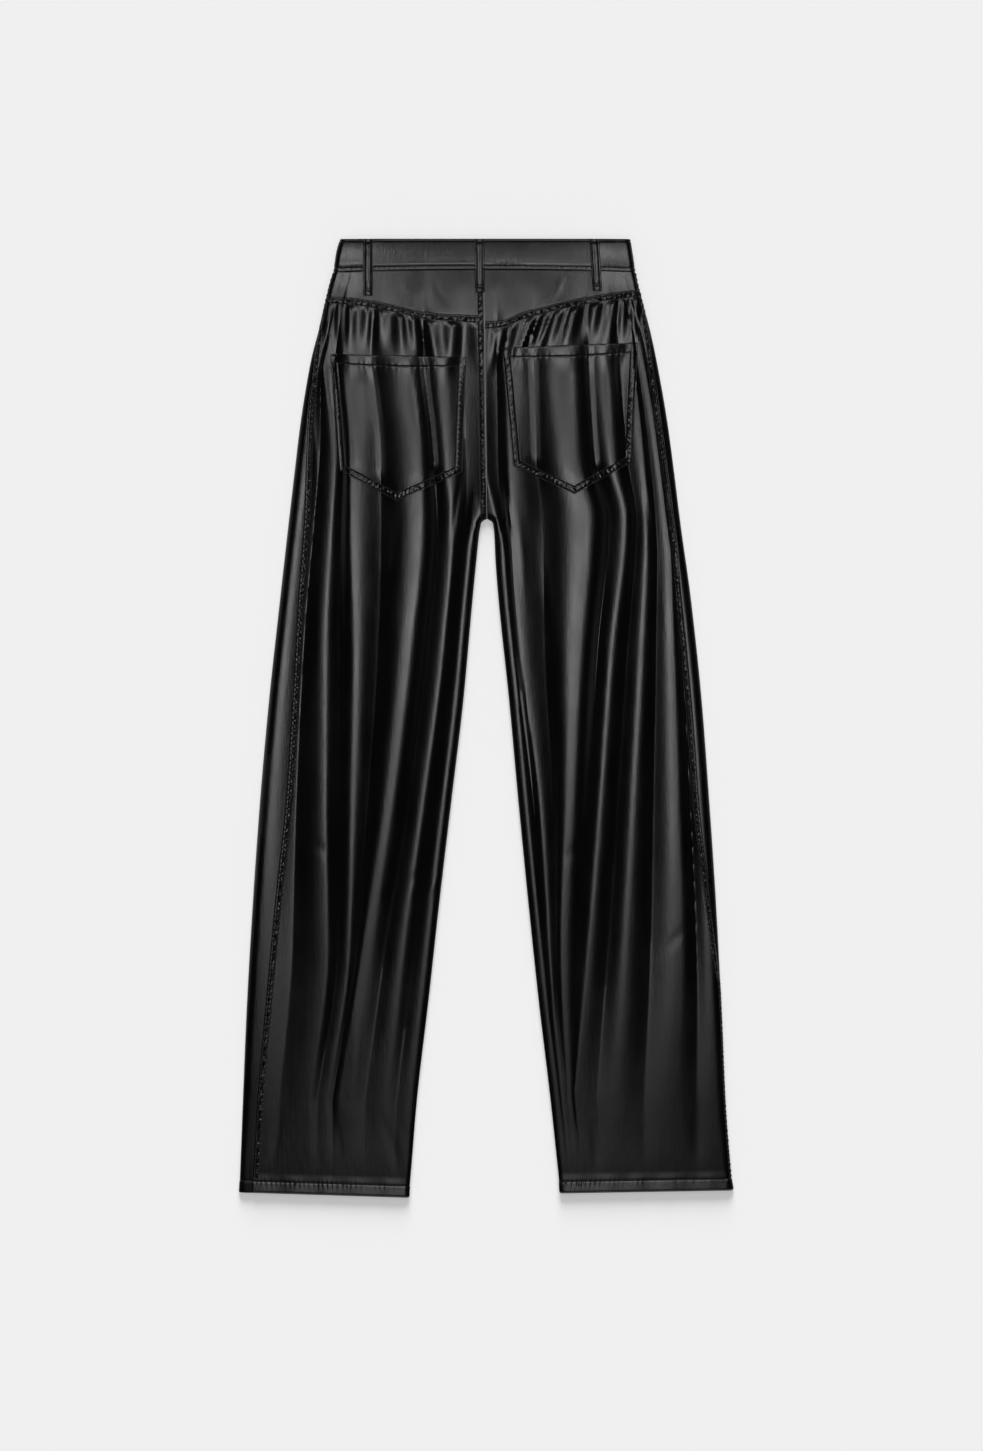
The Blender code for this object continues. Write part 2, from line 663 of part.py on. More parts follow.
def make_yoke(side, material):
    shares = np.array(YOKE_SHARES)
    start = BAND_DEPTH_SIDE + shares * (YOKE_LEVEL - BAND_DEPTH_SIDE)
    x, down, under = settle_grid(side, shares, back_places, yoke_row_down, start)
    inner = np.full(x.shape, WALL / 2)
    outer = inner.copy()
    if side == "left":
        outer[:, :5] = WALL / 2 + SEAM_RAISE
    outer_points, inner_points = cloth_wall(side, x, down, under, outer, inner)
    return new_object("yoke_" + side, wall_between(outer_points, inner_points), material)


def band_back_down(side, share, x):
    return share * (band_seam(side, x) - HALF_GAP)


def band_front_down(side, share, x):
    return band_back_down(side, share, x) + front_dip(side, x)


def band_back_places(side, down):
    """Columns of the waistband's back half, from the side fold to the centre back."""
    curve = sheet_value("round_top", down) * math.pi / 2
    centre = arc_at_x(side, centre_x(down), down, False)
    arcs = [curve * index / 4 for index in range(5)]
    for index in range(1, BAND_COLUMNS + 1):
        arcs.append(curve + (centre - curve) * index / BAND_COLUMNS)
    return [x_at_arc(side, arc, down) for arc in arcs]


def band_front_places(side, down):
    """Columns of the waistband's front half, from the centre front to the side fold."""
    curve = sheet_value("round_under", down) * math.pi / 2
    opening = arc_at_x(side, CENTRE_SEAM_TOP_X + SIDES[side] * BAND_LAP_RAMP, down, True)
    arcs = []
    for index in range(BAND_COLUMNS):
        arcs.append(-opening + (opening - curve) * index / BAND_COLUMNS)
    arcs += [-curve * share for share in (1.0, 2 / 3, 1 / 3)]
    places = [x_at_arc(side, arc, down) for arc in arcs]
    under = np.ones(np.shape(down), bool)
    if side == "left":
        steps = (1.0, 0.5, 0.2, 0.0)
        beyond = [CENTRE_SEAM_TOP_X + BAND_LAP * step for step in steps]
        ramp = [CENTRE_SEAM_TOP_X - BAND_LAP_RAMP * step for step in (0.25, 0.5, 0.75)]
        lap = [(x + 0.0 * down, under) for x in beyond + ramp]
    else:
        lap = [(CENTRE_SEAM_TOP_X + 0.0 * down, under)]
    return lap + places


def raise_lap(points, normals):
    """The lower end of the lap rises to lie inside the other end."""
    share = smooth_step(points[..., 0], CENTRE_SEAM_TOP_X - BAND_LAP_RAMP, CENTRE_SEAM_TOP_X)
    points[..., 2] += BAND_LAP_RISE * share
    climb = 6 * BAND_LAP_RISE / BAND_LAP_RAMP * np.sqrt(share * (1 - share)) / 2
    on_ramp = (share > 0) & (share < 1)
    tilted = np.stack((climb, 0 * climb, 0 * climb - 1), axis=-1)
    tilted /= np.linalg.norm(tilted, axis=-1, keepdims=True)
    normals[on_ramp] = tilted[on_ramp]


def band_points(side):
    """Points and normals of one side of the waistband, from the centre front round to the centre back."""
    shares = np.array(YOKE_SHARES)
    start = shares * BAND_DEPTH_SIDE
    front = settle_grid(side, shares, band_front_places, band_front_down, start)
    back = settle_grid(side, shares, band_back_places, band_back_down, start)
    x, down, under = (np.concatenate(parts, axis=1) for parts in zip(front, back))
    points, normals = cloth_points(side, x, down, under)
    if side == "left":
        lap = front[0].shape[1]
        raise_lap(points[:, :lap], normals[:, :lap])
    return points, normals


def make_band(material):
    """The waistband: one doubled strip that goes right round and laps at the centre front."""
    left_points, left_normals = band_points("left")
    right_points, right_normals = band_points("right")
    points = np.concatenate((left_points, right_points[:, -2::-1]), axis=1)
    normals = np.concatenate((left_normals, right_normals[:, -2::-1]), axis=1)
    half = BAND_WALL / 2
    return new_object("waistband", wall_between(points + normals * half, points - normals * half), material)


def cut_line(mesh_data, start, end, clear):
    """Cuts a patch along a vertical plane through two (x, down) points; clears what lies to its left."""
    along = (end[0] - start[0], start[1] - end[1])
    bmesh.ops.bisect_plane(
        mesh_data,
        geom=mesh_data.verts[:] + mesh_data.edges[:] + mesh_data.faces[:],
        plane_co=(start[0], LENGTH / 2 - start[1], 0.0),
        plane_no=(-along[1], along[0], 0.0),
        clear_outer=clear,
    )


def pocket_patch(outer_points, corners):
    """The part of a back panel's outer face that a pocket covers."""
    patch = bmesh.new()
    rows, columns = outer_points.shape[:2]
    verts = [[patch.verts.new(outer_points[j, i]) for i in range(columns)] for j in range(rows)]
    for j in range(rows - 1):
        for i in range(columns - 1):
            patch.faces.new((verts[j][i], verts[j][i + 1], verts[j + 1][i + 1]))
            patch.faces.new((verts[j][i], verts[j + 1][i + 1], verts[j + 1][i]))
    for start, end in zip(corners, corners[1:] + corners[:1]):
        cut_line(patch, start, end, True)
    for depth in (POCKET_MOUTH_DEPTH, POCKET_MOUTH_DEPTH + STEP):
        lowered = [(x, down + depth) for x, down in corners[:2]]
        cut_line(patch, lowered[0], lowered[1], False)
    bmesh.ops.remove_doubles(patch, verts=patch.verts, dist=0.04)
    return patch


def make_pocket(side, outer_points, material):
    """A patch pocket: the panel's own points moved out, thicker along its turned mouth."""
    corners = POCKETS[side]
    patch = pocket_patch(outer_points, corners)
    (x0, down0), (x1, down1) = corners[:2]
    solid = bmesh.new()
    low, high = {}, {}
    for vert in patch.verts:
        mouth = down0 + (down1 - down0) * (vert.co.x - x0) / (x1 - x0) + POCKET_MOUTH_DEPTH + STEP / 2
        turned = POCKET_MOUTH_RAISE if LENGTH / 2 - vert.co.y < mouth else 0.0
        base = vert.co.z + SEAM_GAP * 1.15
        low[vert] = solid.verts.new((vert.co.x, vert.co.y, base))
        high[vert] = solid.verts.new((vert.co.x, vert.co.y, base + POCKET_WALL + turned))
    for face in patch.faces:
        solid.faces.new([high[vert] for vert in face.verts])
        solid.faces.new([low[vert] for vert in reversed(face.verts)])
    for edge in patch.edges:
        if edge.is_boundary:
            a, b = edge.verts
            solid.faces.new((high[a], high[b], low[b], low[a]))
    patch.free()
    return new_object("pocket_" + side, solid, material)


def make_back_loop(name, x_top, x_low, down_top, down_low, material):
    """A belt loop: a folded strip over the waistband and yoke, with a crown along its middle."""
    side = "left" if x_top < 0 else "right"
    shares = np.linspace(0.0, 1.0, LOOP_ROWS)
    across = np.array([-0.5, -0.3, 0.0, 0.3, 0.5])
    down = np.repeat((down_top + (down_low - down_top) * shares)[:, None], len(across), axis=1)
    x = (x_top + (x_low - x_top) * shares)[:, None] + LOOP_WIDTH * across[None, :]
    points, normals = cloth_points(side, x, down, np.zeros(x.shape, bool))
    low = BAND_WALL / 2 + SEAM_GAP + 0.05
    crown = LOOP_CROWN * (1 - (2 * across) ** 2)
    high = low + LOOP_WALL + crown[None, :, None]
    return new_object(name, wall_between(points + normals * high, points + normals * low), material)


def make_front_loop(name, x_top, x_low, down_top, down_low, material):
    """A belt loop on the underside: a flat strip that the waistband rests on."""
    half = LOOP_WIDTH / 2
    top, low = LENGTH / 2 - down_top, LENGTH / 2 - down_low
    corners = ((x_top - half, top), (x_top + half, top), (x_low + half, low), (x_low - half, low))
    solid = bmesh.new()
    rings = [[solid.verts.new((x, y, z)) for x, y in corners] for z in (0.0, FRONT_LOOP_WALL)]
    solid.faces.new(rings[0])
    solid.faces.new(rings[1])
    for index in range(4):
        other = (index + 1) % 4
        solid.faces.new((rings[0][index], rings[0][other], rings[1][other], rings[1][index]))
    return new_object(name, solid, material)


def make_button(material):
    """A round button with a dished face and a flat rim, face down."""
    profile = (
        (0.0, BUTTON_DISH),
        (0.55 * BUTTON_RADIUS, BUTTON_DISH),
        (0.72 * BUTTON_RADIUS, 0.0),
        (0.94 * BUTTON_RADIUS, 0.0),
        (BUTTON_RADIUS, 0.3 * BUTTON_THICKNESS),
        (BUTTON_RADIUS, 0.7 * BUTTON_THICKNESS),
        (0.94 * BUTTON_RADIUS, BUTTON_THICKNESS),
        (0.0, BUTTON_THICKNESS),
    )
    y = LENGTH / 2 - FRONT_DIP - BAND_DEPTH_CENTRE / 2
    solid = bmesh.new()
    rings = []
    for radius, z in profile:
        if radius == 0.0:
            rings.append([solid.verts.new((BUTTON_X, y, z))])
            continue
        angles = [2 * math.pi * index / BUTTON_SIDES for index in range(BUTTON_SIDES)]
        rings.append([
            solid.verts.new((BUTTON_X + radius * math.cos(angle), y + radius * math.sin(angle), z))
            for angle in angles
        ])
    for index in range(BUTTON_SIDES):
        other = (index + 1) % BUTTON_SIDES
        solid.faces.new((rings[0][0], rings[1][index], rings[1][other]))
        solid.faces.new((rings[-1][0], rings[-2][other], rings[-2][index]))
        for first, second in zip(rings[1:-2], rings[2:-1]):
            solid.faces.new((first[index], second[index], second[other], first[other]))
    return new_object("button", solid, material)


def main():
    for item in list(bpy.data.objects):
        bpy.data.objects.remove(item, do_unlink=True)

    def leather(name):
        return principled(name + "_leather", BLACK, 0.36)

    make_band(leather("waistband"))
    for side in SIDES:
        make_yoke(side, leather("yoke_" + side))
        back, outer_points = make_back(side, leather("back_" + side))
        make_front(side, leather("front_" + side))
        make_pocket(side, outer_points, leather("pocket_" + side))
    for row in BACK_LOOPS:
        make_back_loop(*row, leather(row[0]))
    for row in FRONT_LOOPS:
        make_front_loop(*row, leather(row[0]))
    make_button(principled("button_horn", HORN, 0.3))


main()
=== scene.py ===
"""The looks of the faux leather trousers, laid flat with the back side up.

+X is to the right as the back is looked at, +Y runs towards the waist and +Z is up. The floor is
z = 0. Sizes are in millimetres until the meshes are made. "down" is the distance below the waist's
top edge, "reach" is the distance out from the middle of the trousers, and each leg has a sign, -1
left and +1 right.

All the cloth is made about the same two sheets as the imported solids: the back sheet on top and the
front sheet under it. Seam bands, pockets, creases and stitches are made from points of those
sheets, moved out.
"""
import math

import bpy
import numpy as np
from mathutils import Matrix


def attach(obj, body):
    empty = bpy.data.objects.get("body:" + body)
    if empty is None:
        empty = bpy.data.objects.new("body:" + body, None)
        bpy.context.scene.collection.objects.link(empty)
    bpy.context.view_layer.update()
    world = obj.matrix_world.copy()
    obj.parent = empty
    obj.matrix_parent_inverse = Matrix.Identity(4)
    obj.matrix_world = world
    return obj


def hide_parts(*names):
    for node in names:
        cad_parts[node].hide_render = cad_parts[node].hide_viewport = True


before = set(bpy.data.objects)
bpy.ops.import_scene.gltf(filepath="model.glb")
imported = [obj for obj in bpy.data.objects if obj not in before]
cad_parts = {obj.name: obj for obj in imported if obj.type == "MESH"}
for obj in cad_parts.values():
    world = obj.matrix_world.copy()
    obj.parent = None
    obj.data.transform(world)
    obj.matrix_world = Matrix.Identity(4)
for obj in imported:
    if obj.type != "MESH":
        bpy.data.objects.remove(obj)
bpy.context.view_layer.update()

MM = 0.001
LENGTH = 1053.0
WALL = 1.2
HEM_WALL = 2.2
BAND_WALL = 2.4
SEAM_GAP = 0.3
HALF_GAP = SEAM_GAP / 2

BAND_DEPTH_SIDE = 36.3
BAND_DEPTH_CENTRE = 33.5
BAND_LAP = 30.0
BAND_LAP_RISE = 2.7
BAND_LAP_RAMP = 7.0
FRONT_DIP = 9.0

HEM_DEPTH = 13.0
FELL_WIDTH = 7.7
OUTSEAM_BAND = 6.5
CENTRE_BAND = 7.6
SEAM_RAISE = 0.5
STEP = 0.6

CENTRE_SEAM_TOP_X = -3.5
CROTCH_X = 0.5
CROTCH_DOWN = 308.0
CROTCH_RADIUS = 6.5

SIDES = {"left": -1.0, "right": 1.0}

# Outer edge of each leg, and how far in from it the outseam lies on the back sheet.
# Below zero the seam has gone round the edge to the underside.
OUTER_COLUMNS = ("down", "outer_left", "outseam_left", "outer_right", "outseam_right")
OUTER_EDGE = (
    (0.0, 160.2, -3.0, 157.6, -3.0),
    (11.0, 163.2, -3.0, 158.8, -3.0),
    (36.0, 168.0, -2.8, 163.2, -2.6),
    (50.0, 172.1, -2.4, 166.2, -2.0),
    (99.0, 184.2, 0.0, 179.6, 1.2),
    (132.0, 192.8, 2.5, 186.8, 3.2),
    (198.0, 204.0, 7.8, 198.5, 7.3),
    (253.0, 210.8, 12.4, 206.0, 7.3),
    (308.0, 217.2, 17.0, 212.8, 6.6),
    (396.0, 227.1, 20.6, 224.9, 10.0),
    (506.0, 239.2, 26.4, 236.6, 11.5),
    (616.0, 249.1, 29.0, 244.9, 11.5),
    (726.0, 256.8, 25.0, 252.2, 5.4),
    (836.0, 263.2, 21.0, 257.9, -0.6),
    (946.0, 267.9, 15.8, 262.4, -1.6),
    (1028.0, 271.1, 14.4, 268.6, -2.0),
    (1053.0, 272.2, 14.3, 271.1, -2.0),
)

# Inner edge of each leg below the arch of the crotch.
INNER_COLUMNS = ("down", "inner_left", "inner_right")
INNER_EDGE = (
    (314.5, 6.0, 7.0),
    (322.0, 7.4, 8.0),
    (352.0, 10.6, 9.4),
    (396.0, 14.9, 12.8),
    (506.0, 24.9, 24.3),
    (616.0, 38.0, 34.4),
    (726.0, 51.0, 45.2),
    (836.0, 63.2, 56.8),
    (946.0, 76.0, 69.9),
    (1028.0, 82.8, 78.6),
    (1053.0, 85.2, 81.2),
)

# Heights of the middle of the cloth: the back sheet's valleys, the side fold and the front sheet.
# "swell" scales the folds, and "round_top" and "round_under" are the widths of the side fold's
# curve.
SHEET_COLUMNS = ("down", "valley", "edge", "under", "swell", "round_top", "round_under")
SHEETS = (
    (0.0, 9.0, 6.2, 3.5, 0.00, 5.0, 3.5),
    (45.0, 9.0, 6.2, 3.5, 0.03, 5.0, 3.5),
    (75.0, 7.8, 5.0, 2.6, 0.20, 5.5, 3.0),
    (120.0, 5.4, 3.1, 0.8, 0.50, 7.0, 2.6),
    (160.0, 4.4, 2.4, 0.6, 0.75, 8.0, 2.2),
    (308.0, 3.5, 2.1, 0.6, 1.00, 8.0, 2.0),
    (616.0, 3.2, 2.1, 0.6, 0.95, 8.0, 2.0),
    (836.0, 3.5, 2.1, 0.6, 0.52, 8.0, 2.0),
    (975.0, 4.1, 2.2, 0.6, 0.12, 7.0, 2.0),
    (1028.0, 4.8, 2.6, 1.1, 0.02, 6.0, 1.9),
    (1053.0, 4.8, 2.6, 1.1, 0.02, 6.0, 1.9),
)

# Crests of the long folds: how far out each lies at the seat, hip, crotch, thigh, knee, calf and
# shin, then its height and how broad its top is.
CREST_LEVELS = (132.0, 242.0, 308.0, 451.0, 616.0, 781.0, 946.0)
CRESTS = {
    "left": (
        (53.0, 44.5, 38.0, 48.5, 70.0, 93.0, 112.0, 5.2, 1.0),
        (90.0, 75.0, 74.5, 87.5, 107.5, 135.0, 161.0, 6.0, 1.25),
        (156.0, 149.0, 149.0, 145.0, 148.0, 152.0, 176.0, 5.4, 1.0),
        (180.0, 167.5, 171.0, 178.5, 178.5, 176.5, 196.0, 5.0, 1.0),
    ),
    "right": (
        (24.0, 26.0, 27.0, 37.0, 59.0, 70.0, 80.0, 5.0, 1.0),
        (88.0, 94.0, 110.0, 100.5, 92.0, 84.0, 92.0, 6.6, 1.35),
        (130.0, 138.0, 152.5, 138.0, 126.0, 113.0, 96.0, 6.0, 1.0),
        (160.0, 172.0, 176.5, 171.0, 162.0, 153.5, 146.0, 5.2, 1.0),
        (176.0, 190.0, 200.5, 205.0, 209.5, 213.0, 206.0, 4.6, 1.2),
    ),
}
EDGE_ROLL = 9.0
FOLD_FLATNESS = 0.4
EDGE_ROLL_HEIGHT = 4.4
CREST_FULL_SPACING = 42.0
CREST_TALLEST = 1.2
SEAM_CREST_BREADTH = 0.6
CREST_SHARPNESS = 1.2
CREST_ROOM = 6.0

# The waist's middle stands higher than its ends, which start at this share of the way out.
WAIST_CROWN = 2.0
CROWN_START = 0.72

# Gathers held in by the yoke seam: how far out each lies at its top, how far out its lower end is
# and its height.
GATHERS = {
    "left": (
        (10.0, 8.0, 1.2),
        (36.0, 40.0, 2.2),
        (66.0, 54.0, 1.9),
        (82.0, 72.0, 1.4),
        (95.0, 93.0, 1.8),
        (117.0, 119.0, 1.7),
        (129.0, 134.0, 1.3),
        (149.0, 151.0, 1.5),
        (161.0, 163.0, 1.2),
        (172.0, 175.0, 1.1),
    ),
    "right": (
        (12.0, 3.0, 1.2),
        (27.0, 14.0, 1.4),
        (54.0, 26.0, 2.0),
        (69.0, 42.0, 1.5),
        (82.0, 58.0, 1.4),
        (100.0, 82.0, 1.9),
        (121.0, 109.0, 2.2),
        (141.0, 134.0, 1.6),
        (151.0, 147.0, 1.2),
        (165.0, 159.0, 1.4),
    ),
}
GATHER_RISE = 14.0
GATHER_LENGTH = 66.0
GATHER_HALF = 8.0
GATHER_SHARPNESS = 2.0
GATHER_ROOM = 15.0

# The seam between yoke and back panel: how far down it lies at each reach.
YOKE_COLUMNS = ("reach", "down")
YOKE_SEAM = {
    "left": ((0.0, 86.0), (13.0, 84.7), (62.0, 81.4), (95.0, 74.8), (134.0, 67.1), (170.0, 63.6)),
    "right": ((0.0, 91.3), (15.0, 90.2), (42.0, 80.4), (81.0, 70.4), (125.0, 61.8), (165.0, 56.0)),
}
YOKE_LEVEL = 75.0
YOKE_FADE = 180.0

# How far down the hem ends at each leg's outer and inner corner.
HEM_ENDS = {"left": (1047.4, 1053.2), "right": (1045.2, 1048.4)}
HEM_FADE = 120.0

# Corners of each back pocket as (x, down), in order round it, and the depth of its turned mouth.
POCKETS = {
    "left": ((-171.6, 126.6), (-22.2, 129.8), (-26.8, 256.3), (-98.5, 288.2), (-162.3, 254.1)),
    "right": ((17.0, 119.6), (166.6, 113.9), (160.3, 245.3), (96.6, 280.7), (28.8, 249.3)),
}
POCKET_WALL = 1.2
POCKET_MOUTH_DEPTH = 12.0
POCKET_MOUTH_RAISE = 0.7

# Belt loops: x of the centre at the waist and at the lower end, and how far down both ends lie.
BACK_LOOPS = (
    ("loop_back_left", -130.2, -130.2, 0.4, 62.8),
    ("loop_back_centre", -7.5, -7.6, 0.4, 59.2),
    ("loop_back_right", 118.2, 121.6, 0.4, 57.4),
)
FRONT_LOOPS = (
    ("loop_front_left", -92.0, -92.0, 5.0, 52.0),
    ("loop_front_right", 92.0, 92.0, 5.0, 52.0),
)
LOOP_WIDTH = 10.4
LOOP_WALL = 1.5
FRONT_LOOP_WALL = 1.9

BUTTON_RADIUS = 9.0
BUTTON_X = 14.0
BUTTON_THICKNESS = 1.9
BUTTON_DISH = 0.6
BUTTON_SECTORS = 72
# The button's section: shares of its radius and heights, from its dished middle round its rim to
# its flat side.
BUTTON_RIM = (
    (0.62, 0.45), (0.68, 0.16), (0.75, 0.02), (0.84, 0.0), (0.91, 0.05), (0.96, 0.2),
    (0.99, 0.5), (1.00, 0.95), (0.99, 1.4), (0.96, 1.7), (0.90, 1.86), (0.80, 1.9),
)
BUTTON_CORE = 0.3
DISH_RINGS = 12
DISH_SHARE = 0.56
HOLE_REACH = 1.9
HOLE_RADIUS = 0.95
HOLE_DEPTH = 0.8

# Columns across each kind of piece. A back panel's are shared out between its folds at one level.
CRESTS_SPREAD_AT = 616.0
CREASE_ANGLE = math.radians(16)
BACK_COLUMNS = 150
FRONT_COLUMNS = 44
EDGE_COLUMNS = 14
BAND_COLUMNS = 140
TURN_COLUMNS = 8
LAP_COLUMNS = 14

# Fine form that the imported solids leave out.
STITCH_GROOVE = 0.45
HEM_ROLL = 0.6
HEM_BULGE = 1.3
HEM_GROOVE = 0.2
HEM_TURN = 2.4
HEM_TICK = 0.14
HEM_UNEVEN = 0.3
HEM_ROLL_HEIGHT = 10.0
TOP_RIM = 0.024
BAND_BULGE = 0.6
BAND_ROUND = 0.35
ROLL_ABOVE_ROW = 0.14
PUCKER_PITCH = 5.4
PUCKER_LEAN = 0.35
# The size of each band's puckers, and the seed that their unevenness starts from.
PUCKERS = {
    "outseam": (0.62, {"left": 11, "right": 17}),
    "centre": (0.42, {"left": 23}),
    "yoke": (0.42, {"left": 31, "right": 37}),
    "pocket": (0.28, {"left": 43, "right": 47}),
}
BAND_PITCH = 0.9
BAND_SHARES = (0.0, 0.03, 0.1, 0.18, 0.27, 0.38, 0.5, 0.62, 0.73, 0.82, 0.9, 0.97, 1.0)
BAND_SUNK = 0.12
BAND_TUCK = 0.35
BAND_STITCHES = (1.1, -1.0)
POCKET_PITCH = 1.15
POCKET_APEX = 0.52
POCKET_EASE = 6.0
POCKET_CLEAR = 0.35
POCKET_STAND = 1.6
POCKET_BAND = 9.4
MOUTH_EASE = 0.14
MOUTH_STITCHES = 120
BAND_ROWS = (2.4, 31.5)
LOOP_ROW = 1.7
LOOP_TACK = 6.5
LOOP_BULGE = 0.9
LOOP_SLACK = 0.9
LOOP_CLEAR = 0.05
WAIST_PUCKER = 0.14
WAIST_PULL = 0.34
WAIST_PULL_X = 22.0
WAIST_ENDS = (-155.0, 153.0)
EDGE_ROW = (8.0, 152.0)
EDGE_ROW_DOWN = 0.45
THREAD = 0.42
THREAD_SUNK = 0.3
STITCH_LENGTH = 2.4
STITCH_PITCH = 3.2
LOOP_STITCH_LENGTH = 1.3
ROW_SPACING = 1.3
EDGE_STITCH_PITCH = 2.2
EDGE_STITCH_LENGTH = 1.3
THREAD_SECTORS = 5
# A stitch's rings: share of its length, width and rise as shares of the thread's radius.
THREAD_RINGS = ((0.0, 0.35, -0.9), (0.25, 1.0, 0.35), (0.75, 1.0, 0.35), (1.0, 0.35, -0.9))

# The softbox overhead that the film reflects, which lights nothing else. Its glow along the
# trousers is given at places in metres from their middle, and its glow across them fades with the
# distance from it.
SOFTBOX_HEIGHT = 2.0
SOFTBOX_SIZE = 2.4
GLOW_ALONG = (
    (-1.00, 0.08),
    (-0.72, 0.28),
    (-0.55, 0.62),
    (-0.40, 1.30),
    (-0.20, 2.90),
    (0.00, 4.50),
    (0.15, 5.60),
    (0.25, 6.80),
    (0.33, 7.80),
    (0.38, 6.40),
    (0.425, 1.00),
    (0.475, 0.22),
    (0.66, 0.20),
    (0.80, 0.22),
    (1.00, 0.12),
)
GLOW_ACROSS = (
    (0.00, 1.0),
    (0.10, 0.94),
    (0.20, 0.72),
    (0.30, 0.42),
    (0.40, 0.18),
    (0.52, 0.04),
    (0.70, 0.005),
    (1.00, 0.0),
)

# Two small boxes beside it for the waist's ends, then soft light for the floor, and its shadow at
# the hems.
SIDE_GLOW = 9.0
SIDE_GLOW_X = 0.42
SIDE_GLOW_Y = 0.75
SIDE_GLOW_HEIGHT = 1.9
SIDE_GLOW_SIZE = (0.28, 0.30)
DOME = 0.36
DOME_HEIGHT = 3.6
DOME_SIZE = (7.0, 7.0)
SUN = 4.0
SUN_RISE = 20.0
SUN_SPREAD = 0.5
HORIZON_GLOW = ((0.0, 0.5), (0.3, 0.3), (0.55, 0.004), (1.0, 0.004))
FLOOR_GLOW = 0.317
FLOOR_SIZE = 9.0
CAMERA_LENS = 101.5
CAMERA_SENSOR = 36.0
CAMERA_PLACE = (0.0055, -0.0077, 4.5)

# The film's grey and roughness as stops of a ramp, and its pores' scale, strength and depth in
# metres. The layers of relief over them each have their noise's scale and detail, then how strong
# and how deep they are.
FILM_GREY = ((0.3, 0.0009), (0.7, 0.0022))
FILM_ROUGHNESS = ((0.3, 0.20), (0.72, 0.27))
PORES = ((1150, 900, 1150), 0.22, 0.00006)
FILM_RELIEF = (
    ((1500, 240, 1500), 3.0, 0.4, 0.00008),
    ((460, 60, 460), 4.0, 0.4, 0.00022),
    ((150, 70, 150), 3.0, 0.25, 0.0003),
)
THREAD_GREY = ((0.3, 0.006), (0.7, 0.018))
HORN_GREY = ((0.35, 0.006), (0.7, 0.03))
HORN_ROUGHNESS = ((0.3, 0.2), (0.8, 0.32))

